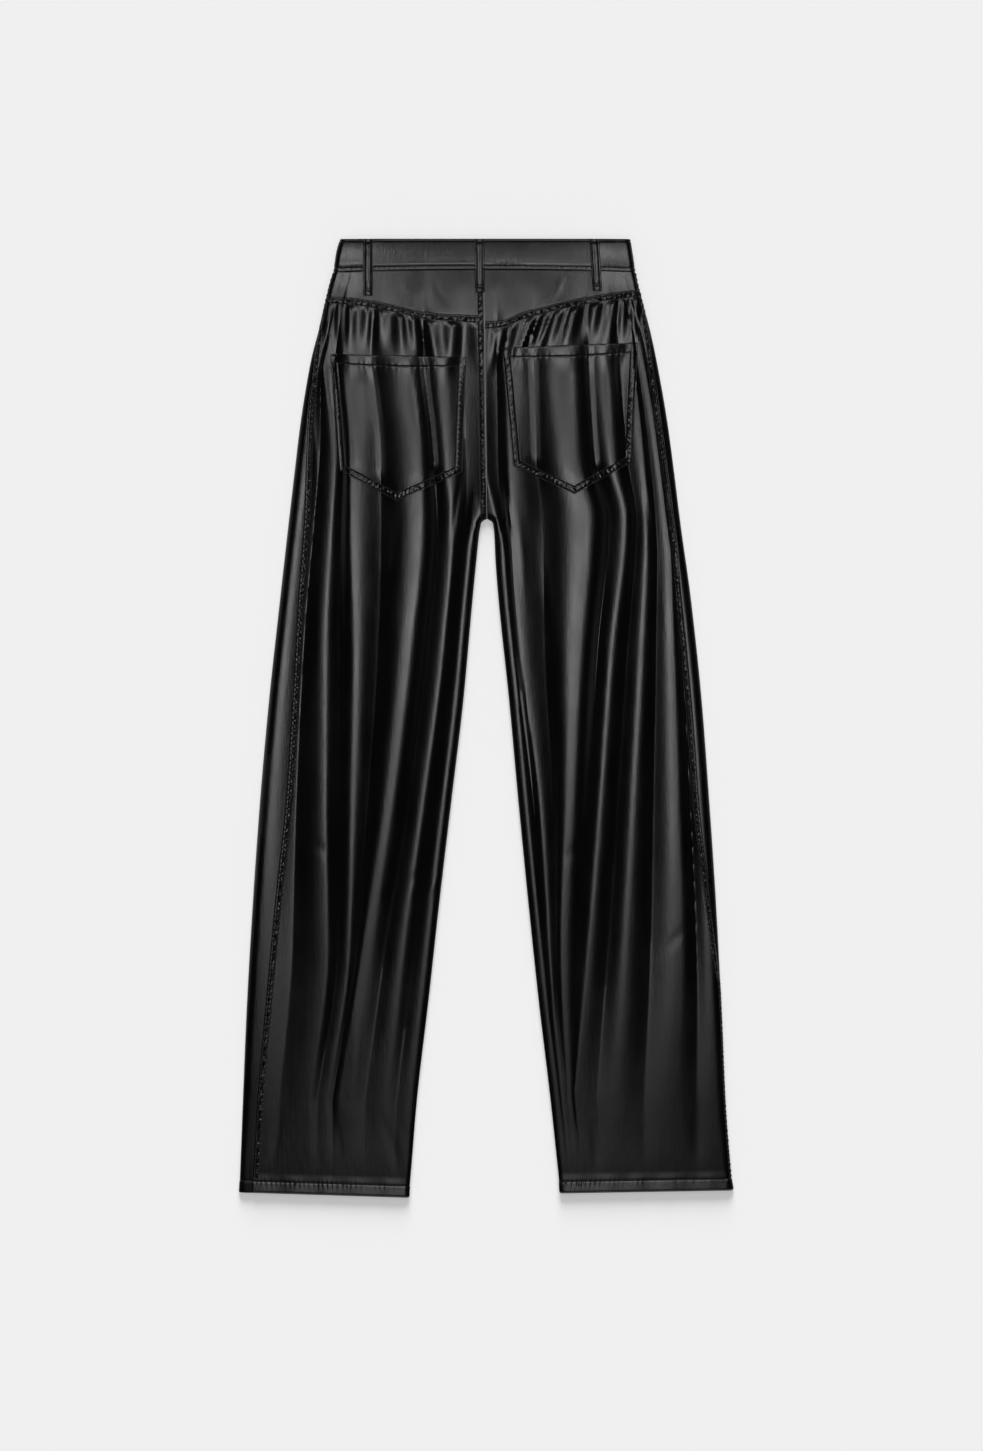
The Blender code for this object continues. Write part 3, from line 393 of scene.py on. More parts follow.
# Soft creases and ridges beside the long folds, each from one place to another: its leg, its sheet,
# x and down of both ends, how far its middle bows out, its half width, and its height above the
# cloth (a crease is below).
CREASES = (
    ("left", "back", -13.0, 262.0, -27.0, 352.0, 3.0, 3.2, 0.55),
    ("left", "back", -25.0, 250.0, -38.0, 338.0, -2.0, 3.0, -0.55),
    ("left", "back", -98.0, 290.0, -113.0, 402.0, 4.0, 5.0, -0.40),
    ("left", "back", -212.0, 655.0, -150.0, 697.0, 5.0, 6.0, -0.32),
    ("left", "back", -120.0, 735.0, -60.0, 694.0, 6.0, 6.0, -0.40),
    ("left", "back", -48.0, 690.0, -84.0, 742.0, 3.0, 4.0, 0.40),
    ("left", "back", -226.0, 948.0, -240.0, 1030.0, 2.0, 5.0, -0.30),
    ("left", "back", -171.0, 935.0, -162.0, 1034.0, 3.0, 6.0, -0.28),
    ("left", "back", -147.0, 800.0, -151.0, 985.0, 5.0, 7.0, 0.30),
    ("left", "back", -116.0, 960.0, -95.0, 1036.0, 3.0, 5.0, -0.30),
    ("left", "back", -97.0, 44.0, -80.0, 70.0, 2.0, 4.5, 0.14),
    ("left", "back", -60.0, 40.0, -40.0, 76.0, -2.0, 4.0, -0.20),
    ("left", "back", -196.0, 170.0, -188.0, 300.0, 4.0, 3.5, -0.40),
    ("right", "back", 19.0, 250.0, 11.0, 352.0, 3.0, 3.2, -0.50),
    ("right", "back", 30.0, 276.0, 42.0, 412.0, 3.0, 4.0, 0.40),
    ("right", "back", 64.0, 285.0, 78.0, 450.0, -6.0, 5.5, 0.45),
    ("right", "back", 168.0, 255.0, 182.0, 356.0, 3.0, 4.0, -0.40),
    ("right", "back", 78.0, 688.0, 132.0, 655.0, 5.0, 6.0, -0.32),
    ("right", "back", 62.0, 740.0, 73.0, 858.0, 2.0, 4.0, 0.38),
    ("right", "back", 188.0, 800.0, 226.0, 752.0, 5.0, 6.0, -0.30),
    ("right", "back", 113.0, 966.0, 121.0, 1032.0, 3.0, 5.0, -0.28),
    ("right", "back", 224.0, 950.0, 231.0, 1030.0, 3.0, 6.0, -0.30),
    ("right", "back", 84.0, 40.0, 66.0, 74.0, 2.0, 4.0, 0.25),
    ("right", "back", 196.0, 150.0, 206.0, 280.0, -3.0, 3.5, -0.40),
    ("left", "front", -22.0, 112.0, -104.0, 84.0, 5.0, 5.0, -0.40),
    ("left", "front", -16.0, 196.0, -88.0, 158.0, 7.0, 6.0, -0.45),
    ("left", "front", -14.0, 302.0, -92.0, 344.0, 6.0, 5.0, -0.45),
    ("left", "front", -150.0, 362.0, -166.0, 655.0, 8.0, 9.0, -0.50),
    ("left", "front", -86.0, 618.0, -192.0, 590.0, 7.0, 7.0, -0.40),
    ("left", "front", -96.0, 706.0, -206.0, 728.0, -6.0, 6.0, -0.35),
    ("left", "front", -132.0, 862.0, -208.0, 905.0, 5.0, 8.0, -0.35),
    ("right", "front", 20.0, 120.0, 96.0, 90.0, 5.0, 5.0, -0.40),
    ("right", "front", 17.0, 210.0, 94.0, 160.0, 6.0, 6.0, -0.45),
    ("right", "front", 16.0, 306.0, 84.0, 352.0, 7.0, 5.0, -0.45),
    ("right", "front", 142.0, 390.0, 160.0, 640.0, 7.0, 9.0, -0.50),
    ("right", "front", 80.0, 632.0, 176.0, 596.0, 6.0, 7.0, -0.40),
    ("right", "front", 104.0, 744.0, 210.0, 716.0, -5.0, 6.0, -0.35),
    ("right", "front", 124.0, 880.0, 196.0, 938.0, 5.0, 8.0, -0.35),
)


def column(table, names, name):
    """One named column of a table."""
    return np.array([row[names.index(name)] for row in table], float)


def smooth_curve(stations, values, at):
    """A smooth curve through the stations that never swings past them, flat beyond its ends."""
    stations = np.asarray(stations, float)
    values = np.asarray(values, float)
    secants = np.diff(values) / np.diff(stations)
    before, after = secants[:-1], secants[1:]
    same_way = before * after > 0
    total = np.where(same_way, before + after, 1.0)
    middle = np.where(same_way, 2 * before * after / total, 0.0)
    slopes = np.concatenate((secants[:1], middle, secants[-1:]))
    at = np.clip(at, stations[0], stations[-1])
    index = np.clip(np.searchsorted(stations, at) - 1, 0, len(stations) - 2)
    span = stations[index + 1] - stations[index]
    t = (at - stations[index]) / span
    start = (1 + 2 * t) * (1 - t) ** 2 * values[index] + t * (1 - t) ** 2 * span * slopes[index]
    end = t * t * (3 - 2 * t) * values[index + 1] + t * t * (t - 1) * span * slopes[index + 1]
    return start + end


def smooth_step(value, low, high):
    """0 below low, 1 above high, with a soft change between them."""
    t = np.clip((value - low) / (high - low), 0.0, 1.0)
    return t * t * (3 - 2 * t)


def look_up(table, names, name, at):
    """A smooth curve through one column of a table, along its first column."""
    return smooth_curve(column(table, names, names[0]), column(table, names, name), at)


def sheet_value(name, down):
    return look_up(SHEETS, SHEET_COLUMNS, name, down)


def outer_reach(side, down):
    """Reach of the side fold, at the middle of the cloth."""
    return look_up(OUTER_EDGE, OUTER_COLUMNS, "outer_" + side, down) - WALL / 2


def centre_x(down):
    """X of the centre back seam."""
    return np.interp(down, (0.0, CROTCH_DOWN), (CENTRE_SEAM_TOP_X, CROTCH_X))


def arch_spring():
    return CROTCH_DOWN + CROTCH_RADIUS


def inseam_reach(side, down):
    """Reach of the inseam, at the middle of the cloth."""
    return look_up(INNER_EDGE, INNER_COLUMNS, "inner_" + side, down) + WALL / 2


def inner_x(side, down):
    """X of the inner border of a leg's cloth: centre seam, crotch arch, then inseam."""
    down = np.asarray(down, float)
    sign = SIDES[side]
    radius = CROTCH_RADIUS + WALL / 2
    rise = arch_spring() - down
    spread = np.clip(radius ** 2 - np.clip(rise, 0, radius) ** 2, HALF_GAP ** 2, None)
    arch = CROTCH_X + sign * np.sqrt(spread)
    seam = centre_x(down) + sign * HALF_GAP
    return np.where(rise <= 0, sign * inseam_reach(side, down), np.where(rise < radius, arch, seam))


def inner_distance(side, x, down):
    """Distance in from the inseam edge and the crotch arch."""
    radius = CROTCH_RADIUS + WALL / 2
    rise = arch_spring() - down
    above = np.hypot(x - CROTCH_X, rise) - radius
    below = SIDES[side] * (x - inner_x(side, np.maximum(down, arch_spring())))
    return np.where(rise > 0, above, below)


def edge_distance(side, x, down):
    outer = outer_reach(side, down) - SIDES[side] * x
    return np.clip(np.minimum(outer, inner_distance(side, x, down)), 0.0, None)


def inner_roll(down):
    """How far the innermost crest has moved from the centre seam to the inseam."""
    return smooth_step(down, CROTCH_DOWN - 60, CROTCH_DOWN + 40)


def crest_reaches(side, down):
    """Reach of every crest across one leg, from the inner border to the side fold."""
    below = inner_roll(down)
    centre = SIDES[side] * centre_x(down)
    first = centre + below * (inseam_reach(side, down) + EDGE_ROLL - centre)
    last = outer_reach(side, down) - EDGE_ROLL
    rows = [first]
    for index, crest in enumerate(CRESTS[side]):
        before, after = index + 1, len(CRESTS[side]) - index
        reach = smooth_curve(CREST_LEVELS, crest[:-2], down)
        rows.append(np.clip(reach, first + CREST_ROOM * before, last - CREST_ROOM * after))
    rows.append(last)
    return np.array(rows)


def crest_valleys(side, down):
    """Reach of the valley between each crest and the next. A broad crest pushes it away."""
    crests = crest_reaches(side, down)
    breadths = [1.0] + [crest[-1] for crest in CRESTS[side]] + [1.0]
    shares = [near / (near + far) for near, far in zip(breadths, breadths[1:])]
    valleys = [near + share * (far - near) for near, far, share in zip(crests, crests[1:], shares)]
    return np.array(valleys)


def fold_height(side, x, down):
    """Height of the long folds: rounded crests with narrow valleys between them."""
    reach = SIDES[side] * x
    crests = crest_reaches(side, down)
    valleys = crest_valleys(side, down)
    heights = [EDGE_ROLL_HEIGHT] + [crest[-2] for crest in CRESTS[side]] + [EDGE_ROLL_HEIGHT]
    seam = SEAM_CREST_BREADTH + (1 - SEAM_CREST_BREADTH) * inner_roll(down)
    breadths = [seam] + [crest[-1] for crest in CRESTS[side]] + [1.0]
    total = np.zeros_like(reach)
    for index, crest in enumerate(crests):
        low = valleys[index - 1] if index else crest - 2 * EDGE_ROLL
        high = valleys[index] if index < len(valleys) else crest + 2 * EDGE_ROLL
        half = np.where(reach < crest, crest - low, high - crest)
        t = np.clip(np.abs(reach - crest) / np.maximum(half, 1.0), 0.0, 1.0)
        spacing = np.clip((high - low) / CREST_FULL_SPACING, 0.0, CREST_TALLEST)
        profile = np.cos(t ** breadths[index] * math.pi / 2) ** CREST_SHARPNESS
        total += heights[index] * spacing * profile
    return total


def yoke_down(side, x):
    return look_up(YOKE_SEAM[side], YOKE_COLUMNS, "down", SIDES[side] * x)


def gather_height(side, x, down):
    """Height of the short gathers just below the yoke seam."""
    below = down - yoke_down(side, x)
    fades = 1 - smooth_step(below, 0.35 * GATHER_LENGTH, GATHER_LENGTH)
    window = smooth_step(below, 3.0, GATHER_RISE) * fades
    reach = SIDES[side] * x
    centres = [top + (low - top) * below / GATHER_LENGTH for top, low, _ in GATHERS[side]]
    total = np.zeros_like(below)
    last = len(centres) - 1
    for index, (_, _, height) in enumerate(GATHERS[side]):
        before = (centres[index] - centres[index - 1]) / 2 if index else GATHER_HALF
        after = (centres[index + 1] - centres[index]) / 2 if index < last else GATHER_HALF
        half = np.maximum(np.where(reach < centres[index], before, after), 2.0)
        t = np.clip(np.abs(reach - centres[index]) / half, 0.0, 1.0)
        room = np.minimum((before + after) / GATHER_ROOM, 1.0)
        total += height * room * np.cos(t * math.pi / 2) ** GATHER_SHARPNESS
    return total * window


def waist_crown(side, x, down):
    """How much higher the middle of the waist stands than its two ends."""
    share = SIDES[side] * x / outer_reach(side, down)
    faded = (1 - smooth_step(share, CROWN_START, 1.0)) * (1 - smooth_step(down, 70.0, 150.0))
    return WAIST_CROWN * faded


def crease_height(side, sheet, x, down):
    """Height of the soft creases and ridges of one sheet of one leg."""
    total = np.zeros_like(x + down)
    for leg, layer, ax, a_down, bx, b_down, bow, width, height in CREASES:
        if (leg, layer) != (side, sheet):
            continue
        length = math.hypot(bx - ax, b_down - a_down)
        along = ((x - ax) * (bx - ax) + (down - a_down) * (b_down - a_down)) / length ** 2
        across = ((x - ax) * (b_down - a_down) - (down - a_down) * (bx - ax)) / length
        window = np.sin(math.pi * np.clip(along, 0.0, 1.0))
        total += height * window ** 1.5 * np.exp(-((across - bow * window) / width) ** 2)
    return total


def top_height(side, x, down):
    """Height of the middle of the back sheet above the side fold's middle."""
    folds = sheet_value("swell", down) * fold_height(side, x, down)
    valley = sheet_value("valley", down) - sheet_value("edge", down)
    gathered = waist_crown(side, x, down) + gather_height(side, x, down)
    return valley + folds + gathered + crease_height(side, "back", x, down)


def under_height(side, x, down):
    """Depth of the middle of the front sheet below the side fold's middle."""
    depth = sheet_value("edge", down) - sheet_value("under", down)
    return depth + crease_height(side, "front", x, down)


def slope(function, side, x, down, reach=0.4):
    """Slopes of a sheet function along +X and +Y."""
    along_x = (function(side, x + reach, down) - function(side, x - reach, down)) / (2 * reach)
    along_y = (function(side, x, down - reach) - function(side, x, down + reach)) / (2 * reach)
    return along_x, along_y


def cloth_points(side, x, down, under, top=top_height):
    """Points on the middle of the cloth, and their outward normals."""
    distance = edge_distance(side, x, down)
    radius = np.where(under, sheet_value("round_under", down), sheet_value("round_top", down))
    cosine = np.clip(1 - distance / radius, 0.0, 1.0)
    sine = np.sqrt(1 - cosine ** 2)
    height = np.where(under, under_height(side, x, down), top(side, x, down))
    rise = np.maximum(height * sine, HALF_GAP)
    direction = np.where(under, -1.0, 1.0)
    z = sheet_value("edge", down) + direction * rise
    points = np.stack((x, LENGTH / 2 - down, z), axis=-1)
    top_x, top_y = slope(top, side, x, down)
    under_x, under_y = slope(under_height, side, x, down)
    edge_x, edge_y = slope(edge_distance, side, x, down)
    height_x = np.where(under, under_x, top_x)
    height_y = np.where(under, under_y, top_y)
    normals = np.stack((
        -sine ** 2 * height_x - cosine * height * edge_x / radius,
        -sine ** 2 * height_y - cosine * height * edge_y / radius,
        direction * sine,
    ), axis=-1)
    normals /= np.linalg.norm(normals, axis=-1, keepdims=True)
    return points, normals


def arc_from_distance(distance, radius):
    """Length along a side fold's curve at a distance in from the edge."""
    curved = radius * np.arccos(np.clip(1 - distance / radius, -1.0, 1.0))
    return np.where(distance < radius, curved, radius * math.pi / 2 + distance - radius)


def distance_from_arc(arc, radius):
    curved = radius * (1 - np.cos(np.clip(arc / radius, 0.0, math.pi / 2)))
    return np.where(arc < radius * math.pi / 2, curved, radius + arc - radius * math.pi / 2)


def outseam_arc(side, down):
    """The outseam's place along the section: above zero on top, below zero on the underside."""
    place = look_up(OUTER_EDGE, OUTER_COLUMNS, "outseam_" + side, down)
    arc = arc_from_distance(np.maximum(place, 0.0), sheet_value("round_top", down))
    return np.where(place > 0, arc, place)


def outseam_half_gap(side, down):
    """Half the outseam's gap as a length of arc, which the flat side fold shortens at the edge."""
    turn = np.abs(outseam_arc(side, down)) / sheet_value("round_top", down)
    turn = np.clip(turn, 0.0, math.pi / 2)
    return HALF_GAP / np.sqrt(np.sin(turn) ** 2 + FOLD_FLATNESS ** 2 * np.cos(turn) ** 2)


def x_at_arc(side, arc, down):
    """X of a place along the section, and whether it is on the underside."""
    radius = np.where(arc < 0, sheet_value("round_under", down), sheet_value("round_top", down))
    distance = distance_from_arc(np.abs(arc), radius)
    return SIDES[side] * (outer_reach(side, down) - distance), arc < 0


def arc_at_x(side, x, down, under):
    name = "round_under" if under else "round_top"
    return arc_from_distance(outer_reach(side, down) - SIDES[side] * x, sheet_value(name, down))


def band_seam(side, x):
    """How far down the waistband's lower seam lies."""
    share = np.clip(np.abs(x) / outer_reach(side, 0.0), 0.0, 1.0) ** 2
    return BAND_DEPTH_CENTRE + (BAND_DEPTH_SIDE - BAND_DEPTH_CENTRE) * share


def front_dip(side, x):
    """How much lower the front waist sits than the back: most at the centre, none at the sides."""
    share = np.clip(np.abs(x) / outer_reach(side, 0.0), 0.0, 1.0)
    return FRONT_DIP * 0.5 * (1 + np.cos(math.pi * share))


def yoke_shift(side, level, x):
    """How far a row is moved down to follow the yoke seam above it."""
    near = 1 - smooth_step(level, YOKE_LEVEL + FELL_WIDTH + STEP, YOKE_FADE)
    return near * (yoke_down(side, x) - YOKE_LEVEL)


def hem_shift(side, level, x):
    """How far a row is moved to follow the slant of the hem below it."""
    outer, inner = HEM_ENDS[side]
    reaches = (float(SIDES[side] * inner_x(side, LENGTH)), float(outer_reach(side, LENGTH)))
    near = smooth_step(level, LENGTH - HEM_FADE, LENGTH - HEM_DEPTH - STEP)
    return near * (np.interp(SIDES[side] * x, reaches, (inner, outer)) - LENGTH)


def back_down(side, level, x):
    return level + yoke_shift(side, level, x) + hem_shift(side, level, x)


def yoke_row_down(side, share, x):
    top = band_seam(side, x) + HALF_GAP
    return top + share * (yoke_down(side, x) - HALF_GAP - top)


def settle_grid(side, levels, places, row_down, start):
    """X, down and layer of each grid point. Rows bend with X and columns with down."""
    down = start[:, None]
    for _ in range(5):
        x, under = places(side, down)
        down = row_down(side, levels[:, None], x)
    return x, down, under


def join_columns(*groups):
    """One grid of X and layer from groups of columns."""
    x, under = zip(*groups)
    return np.concatenate(x, axis=1), np.concatenate(under, axis=1)


def columns_of(down, group, before):
    """A group of columns' part of a settling grid, whose first round has one column for all."""
    return down if down.shape[1] == 1 else down[:, before:before + len(group)]


def raise_lap(points, normals):
    """The lower end of the lap rises to lie inside the other end."""
    share = smooth_step(points[..., 0], CENTRE_SEAM_TOP_X - BAND_LAP_RAMP, CENTRE_SEAM_TOP_X)
    points[..., 2] += BAND_LAP_RISE * share
    climb = 6 * BAND_LAP_RISE / BAND_LAP_RAMP * np.sqrt(share * (1 - share)) / 2
    on_ramp = (share > 0) & (share < 1)
    tilted = np.stack((climb, 0 * climb, 0 * climb - 1), axis=-1)
    tilted /= np.linalg.norm(tilted, axis=-1, keepdims=True)
    normals[on_ramp] = tilted[on_ramp]


def on_top(x):
    """The layer of points that all lie on the back sheet."""
    return np.zeros(np.shape(x), bool)


# --- meshes ---------------------------------------------------------------------------------------

def spaced(start, end, pitch):
    """Even steps from start to end, about one pitch apart."""
    return np.linspace(start, end, max(2, int(round(abs(end - start) / pitch)) + 1))


def rim(half):
    """Distances in from a cut edge at which the rounded edge's points lie."""
    return half * np.array([0.04, 0.25, 0.6, 1.0])


def rim_share(distance, half):
    """How much of the wall's half thickness is left at a distance in from its rounded edge."""
    return np.sqrt(np.clip(1 - (1 - np.clip(distance / half, 0.0, 1.0)) ** 2, 0.04, 1.0))


def strip_share(s, w, length, width, wall):
    """The same on a strip with four rounded edges, at s along it and w across it."""
    near_side, near_end = np.minimum(w, width - w), np.minimum(s, length - s)
    return np.minimum(rim_share(near_side, wall / 2), rim_share(near_end, wall / 2))


def strip_steps(length, wall, margin, pitch):
    """Steps along a strip or across it, close together at its rounded ends."""
    ends = rim(wall / 2)
    return np.concatenate((ends, spaced(margin, length - margin, pitch), length - ends[::-1]))


def thin_out(count, step):
    return list(range(0, count - 1, step)) + [count - 1]


def grid_quads(ids):
    corners = (ids[:-1, :-1], ids[:-1, 1:], ids[1:, 1:], ids[1:, :-1])
    return np.stack(corners, axis=-1).reshape(-1, 4).tolist()


def wall_faces(rows, columns, row_step, column_step):
    """Faces of a closed wall: a fine outer grid, a coarser inner grid and the joining border."""
    keep_rows, keep_columns = thin_out(rows, row_step), thin_out(columns, column_step)
    outer = np.arange(rows * columns).reshape(rows, columns)
    kept = np.arange(len(keep_rows) * len(keep_columns)).reshape(len(keep_rows), -1)
    inner = rows * columns + kept
    faces = grid_quads(outer) + [quad[::-1] for quad in grid_quads(inner)]
    border = [(0, i) for i in range(columns)]
    border += [(j, columns - 1) for j in range(1, rows)]
    border += [(rows - 1, i) for i in range(columns - 2, -1, -1)]
    border += [(j, 0) for j in range(rows - 2, -1, -1)]
    matched = int(inner[0, 0])
    for (j, i), (k, m) in zip(border, border[1:]):
        first, second = int(outer[j, i]), int(outer[k, m])
        if k in keep_rows and m in keep_columns:
            other = int(inner[keep_rows.index(k), keep_columns.index(m)])
            faces.append((second, first, matched, other))
            matched = other
        else:
            faces.append((second, first, matched))
    return faces, np.ix_(keep_rows, keep_columns)


def placed(name, data, location=(0.0, 0.0, 0.0)):
    """A new object at its place in the scene."""
    item = bpy.data.objects.new(name, data)
    item.location = location
    bpy.context.scene.collection.objects.link(item)
    return item


def mesh_object(name, points, faces, material):
    mesh = bpy.data.meshes.new(name)
    mesh.from_pydata((np.asarray(points) * MM).tolist(), [], faces)
    mesh.shade_smooth()
    mesh.set_sharp_from_angle(angle=CREASE_ANGLE)
    mesh.materials.append(material)
    return placed(name, mesh)


def wall_object(name, outer, inner, material, row_step=4, column_step=4):
    """A closed wall of cloth between two grids of points."""
    rows, columns = outer.shape[:2]
    faces, kept = wall_faces(rows, columns, row_step, column_step)
    points = np.concatenate((outer.reshape(-1, 3), inner[kept].reshape(-1, 3)))
    j, i = rows // 2, columns // 2
    across = np.cross(outer[j, i + 1] - outer[j, i], outer[j + 1, i] - outer[j, i])
    if across @ (outer[j, i] - inner[j, i]) > 0:
        return mesh_object(name, points, faces, material)
    return mesh_object(name, points, [face[::-1] for face in faces], material)


def wall_along(name, points, normals, outer, inner, material, row_step=4, column_step=4):
    """A closed wall between two distances from points, along their normals."""
    faces = points + normals * outer[..., None], points + normals * inner[..., None]
    return wall_object(name, *faces, material, row_step, column_step)


# --- leg panels and yokes -------------------------------------------------------------------------

def panel_levels(top):
    """Rows of a leg panel, closest at its seam, the crotch and its hem."""
    fold = LENGTH - HEM_DEPTH
    rows = [top + rim(WALL / 2), spaced(top + 1.5, top + 60, 1.5), spaced(top + 62, 296, 2.3)]
    rows += [spaced(298, 324, 0.9), spaced(326, fold - 14, 2.7)]
    rows += [spaced(fold - 13, LENGTH - 2, 0.8), LENGTH - rim(HEM_WALL / 2)[::-1]]
    return np.concatenate(rows)


def inner_offsets():
    return np.concatenate((rim(WALL / 2), [1.2, 2.0, 3.2, 4.8]))


def seam_offsets():
    """Distances in from the outseam's gap, from far to near."""
    far = [OUTSEAM_BAND + 0.4, OUTSEAM_BAND - 0.6, 4.0, 2.4, 1.4]
    return np.concatenate((far, rim(WALL / 2)[::-1]))


def edge_columns(side, down, offsets, under):
    """Columns at set distances from a panel's inner border."""
    x = inner_x(side, down) + SIDES[side] * offsets
    return x, np.full(x.shape, under)


def fold_shares(side):
    """The stretch between valleys that each column of a back panel is in, and its share of it."""
    first, *_, last = crest_reaches(side, np.array(CRESTS_SPREAD_AT))
    edges = np.concatenate(([first], crest_valleys(side, np.array(CRESTS_SPREAD_AT))[:-1], [last]))
    widths = np.diff(edges)
    counts = np.maximum(7, np.round(widths / np.sum(widths) * BACK_COLUMNS)).astype(int)
    index = np.repeat(np.arange(len(counts)), counts)
    share = np.concatenate([np.arange(1, count + 1) / count for count in counts])
    return index, share


def across_folds(side, down, first, end):
    """Places of the columns between first and end, with one exactly along each valley."""
    index, share = fold_shares(side)
    valleys = crest_valleys(side, down)[:-1]
    arcs = [arc_at_x(side, SIDES[side] * valley, down, False) for valley in valleys]
    count = len(arcs) + 1
    stations = [first]
    for number, arc in enumerate(arcs, 1):
        stations.append(np.clip(arc, end + 3.0 * (count - number), first - 3.0 * number))
    stations = np.stack(np.broadcast_arrays(*stations, end, 0.0 * index)[:-1])
    shape = (1,) + stations.shape[1:]
    near = np.take_along_axis(stations, np.broadcast_to(index, shape), axis=0)[0]
    far = np.take_along_axis(stations, np.broadcast_to(index + 1, shape), axis=0)[0]
    return near * (1 - share) + far * share


def across_evenly(side, down, first, end):
    share = np.linspace(0.0, 1.0, BACK_COLUMNS + 1)[1:]
    return first * (1 - share) + end * share


def panel_places(side, down, across):
    """X and layer of each column of a panel on top, from the inner border out to the outseam."""
    inner, near_seam = inner_offsets(), seam_offsets()
    width = len(fold_shares(side)[0]) if across is across_folds else BACK_COLUMNS
    total = np.zeros(width + len(near_seam) - 1)
    rest = columns_of(down, total, len(inner))
    middle, edge = (rest, rest) if rest.shape[1] == 1 else (rest[:, :width], rest[:, width:])
    first = arc_at_x(side, inner_x(side, middle) + SIDES[side] * inner[-1], middle, False)
    end = outseam_arc(side, middle) + outseam_half_gap(side, middle) + near_seam[0]
    seam = outseam_arc(side, edge) + outseam_half_gap(side, edge) + near_seam[1:]
    return join_columns(
        edge_columns(side, columns_of(down, inner, 0), inner, False),
        x_at_arc(side, across(side, middle, first, end), middle),
        x_at_arc(side, seam, edge),
    )


def back_places(side, down):
    return panel_places(side, down, across_folds)


def yoke_places(side, down):
    return panel_places(side, down, across_evenly)


def panel_rims(columns):
    """How much of the wall's thickness each of a panel's columns keeps."""
    edges = rim_share(inner_offsets(), WALL / 2), rim_share(seam_offsets(), WALL / 2)
    return np.concatenate((edges[0], np.ones(columns - len(edges[0]) - len(edges[1])), edges[1]))


def front_places(side, down):
    """X and layer of a front panel's columns, from the outseam round the edge to the inside."""
    inner, near_seam = inner_offsets()[::-1], rim(WALL / 2)
    still, away = np.zeros(len(near_seam)), np.linspace(0.0, 1.0, EDGE_COLUMNS)
    turn = np.concatenate((still, away, np.ones(FRONT_COLUMNS)))
    flat = np.concatenate((still, 0.0 * away, np.linspace(0.0, 1.0, FRONT_COLUMNS + 1)[1:]))
    offsets = np.concatenate((near_seam, np.full(EDGE_COLUMNS + FRONT_COLUMNS, 1.2)))
    rest = columns_of(down, turn, 0)
    seam = outseam_arc(side, rest) - outseam_half_gap(side, rest)
    turned = np.minimum(-sheet_value("round_under", rest) * math.pi / 2 - 0.5, seam - 4.0)
    last = -arc_at_x(side, inner_x(side, rest) + SIDES[side] * inner[0], rest, True)
    arcs = (seam - offsets) * (1 - turn) + turned * (turn - flat) + last * flat
    edge = edge_columns(side, columns_of(down, inner[1:], len(turn)), inner[1:], True)
    return join_columns(x_at_arc(side, arcs, rest), edge)


def front_rims():
    edges = rim_share(rim(WALL / 2), WALL / 2), rim_share(inner_offsets()[::-1], WALL / 2)
    return np.concatenate((edges[0], np.ones(EDGE_COLUMNS + FRONT_COLUMNS - 1), edges[1]))


def below_hem_stitch(side, x, down):
    """How far a point lies below the hem's row of stitches."""
    return down - hem_shift(side, LENGTH, x) - (LENGTH - HEM_DEPTH)


def hem_half(below):
    return WALL / 2 + smooth_step(below, -0.6, 0.6) * (HEM_WALL - WALL) / 2


def hem_relief(x, below):
    """The hem's form outside its plain wall: an uneven rise, then a turned band that thickens."""
    uneven = 1 - HEM_UNEVEN + HEM_UNEVEN * ripple(x, 38.0, 7)
    rise = HEM_ROLL * uneven * smooth_step(below, -HEM_ROLL_HEIGHT, -0.5)
    groove = -HEM_GROOVE * np.exp(-(below / 0.8) ** 2)
    band = HEM_BULGE * np.clip(below / HEM_DEPTH, 0.0, 1.0)
    return groove + (rise + band) * (1 - smooth_step(below, HEM_DEPTH - HEM_TURN, HEM_DEPTH))


def hem_ticks(x, below):
    """Small upright puckers that the hem's stitches pull in."""
    near = np.exp(-((below - 1.5) / 3.5) ** 2)
    return HEM_TICK * near * (ripple(x, 5.2, 3) + 0.6 * ripple(x, 2.9, 5))


def ripple(along, pitch, seed):
    """Uneven puckers along a seam, about one pitch apart, from -1 to 1."""
    steps = np.arange(0, 2200.0 / pitch)
    generator = np.random.default_rng(seed)
    phases = generator.uniform(-1.1, 1.1, len(steps))
    heights = generator.uniform(0.45, 1.0, len(steps))
    place = (np.asarray(along) + 1100.0) / pitch
    phase = np.interp(place, steps, phases)
    return np.interp(place, steps, heights) * np.sin(2 * np.pi * place + phase)


def back_wall(name, side, grid, rows, material):
    """A wall of the back sheet over a settled grid, each of whose rows keeps a share of it."""
    x, down, under = grid
    share = rows[:, None] * panel_rims(x.shape[1])[None, :]
    below = below_hem_stitch(side, x, down)
    half = hem_half(below) * share
    outer = half + (hem_relief(x, below) + hem_ticks(x, below)) * share ** 2
    points, normals = cloth_points(side, x, down, under)
    return wall_along(name, points, normals, outer, -half, material)


def row_rims(start):
    """How much of the wall's thickness each row of a leg panel keeps, from its top to its hem."""
    return rim_share(start - start[0] + TOP_RIM, WALL / 2) * rim_share(LENGTH - start, HEM_WALL / 2)


def make_back(side, material):
    start = panel_levels(YOKE_LEVEL + HALF_GAP)
    grid = settle_grid(side, start, back_places, back_down, start)
    return back_wall("cloth_back_" + side, side, grid, row_rims(start), material)


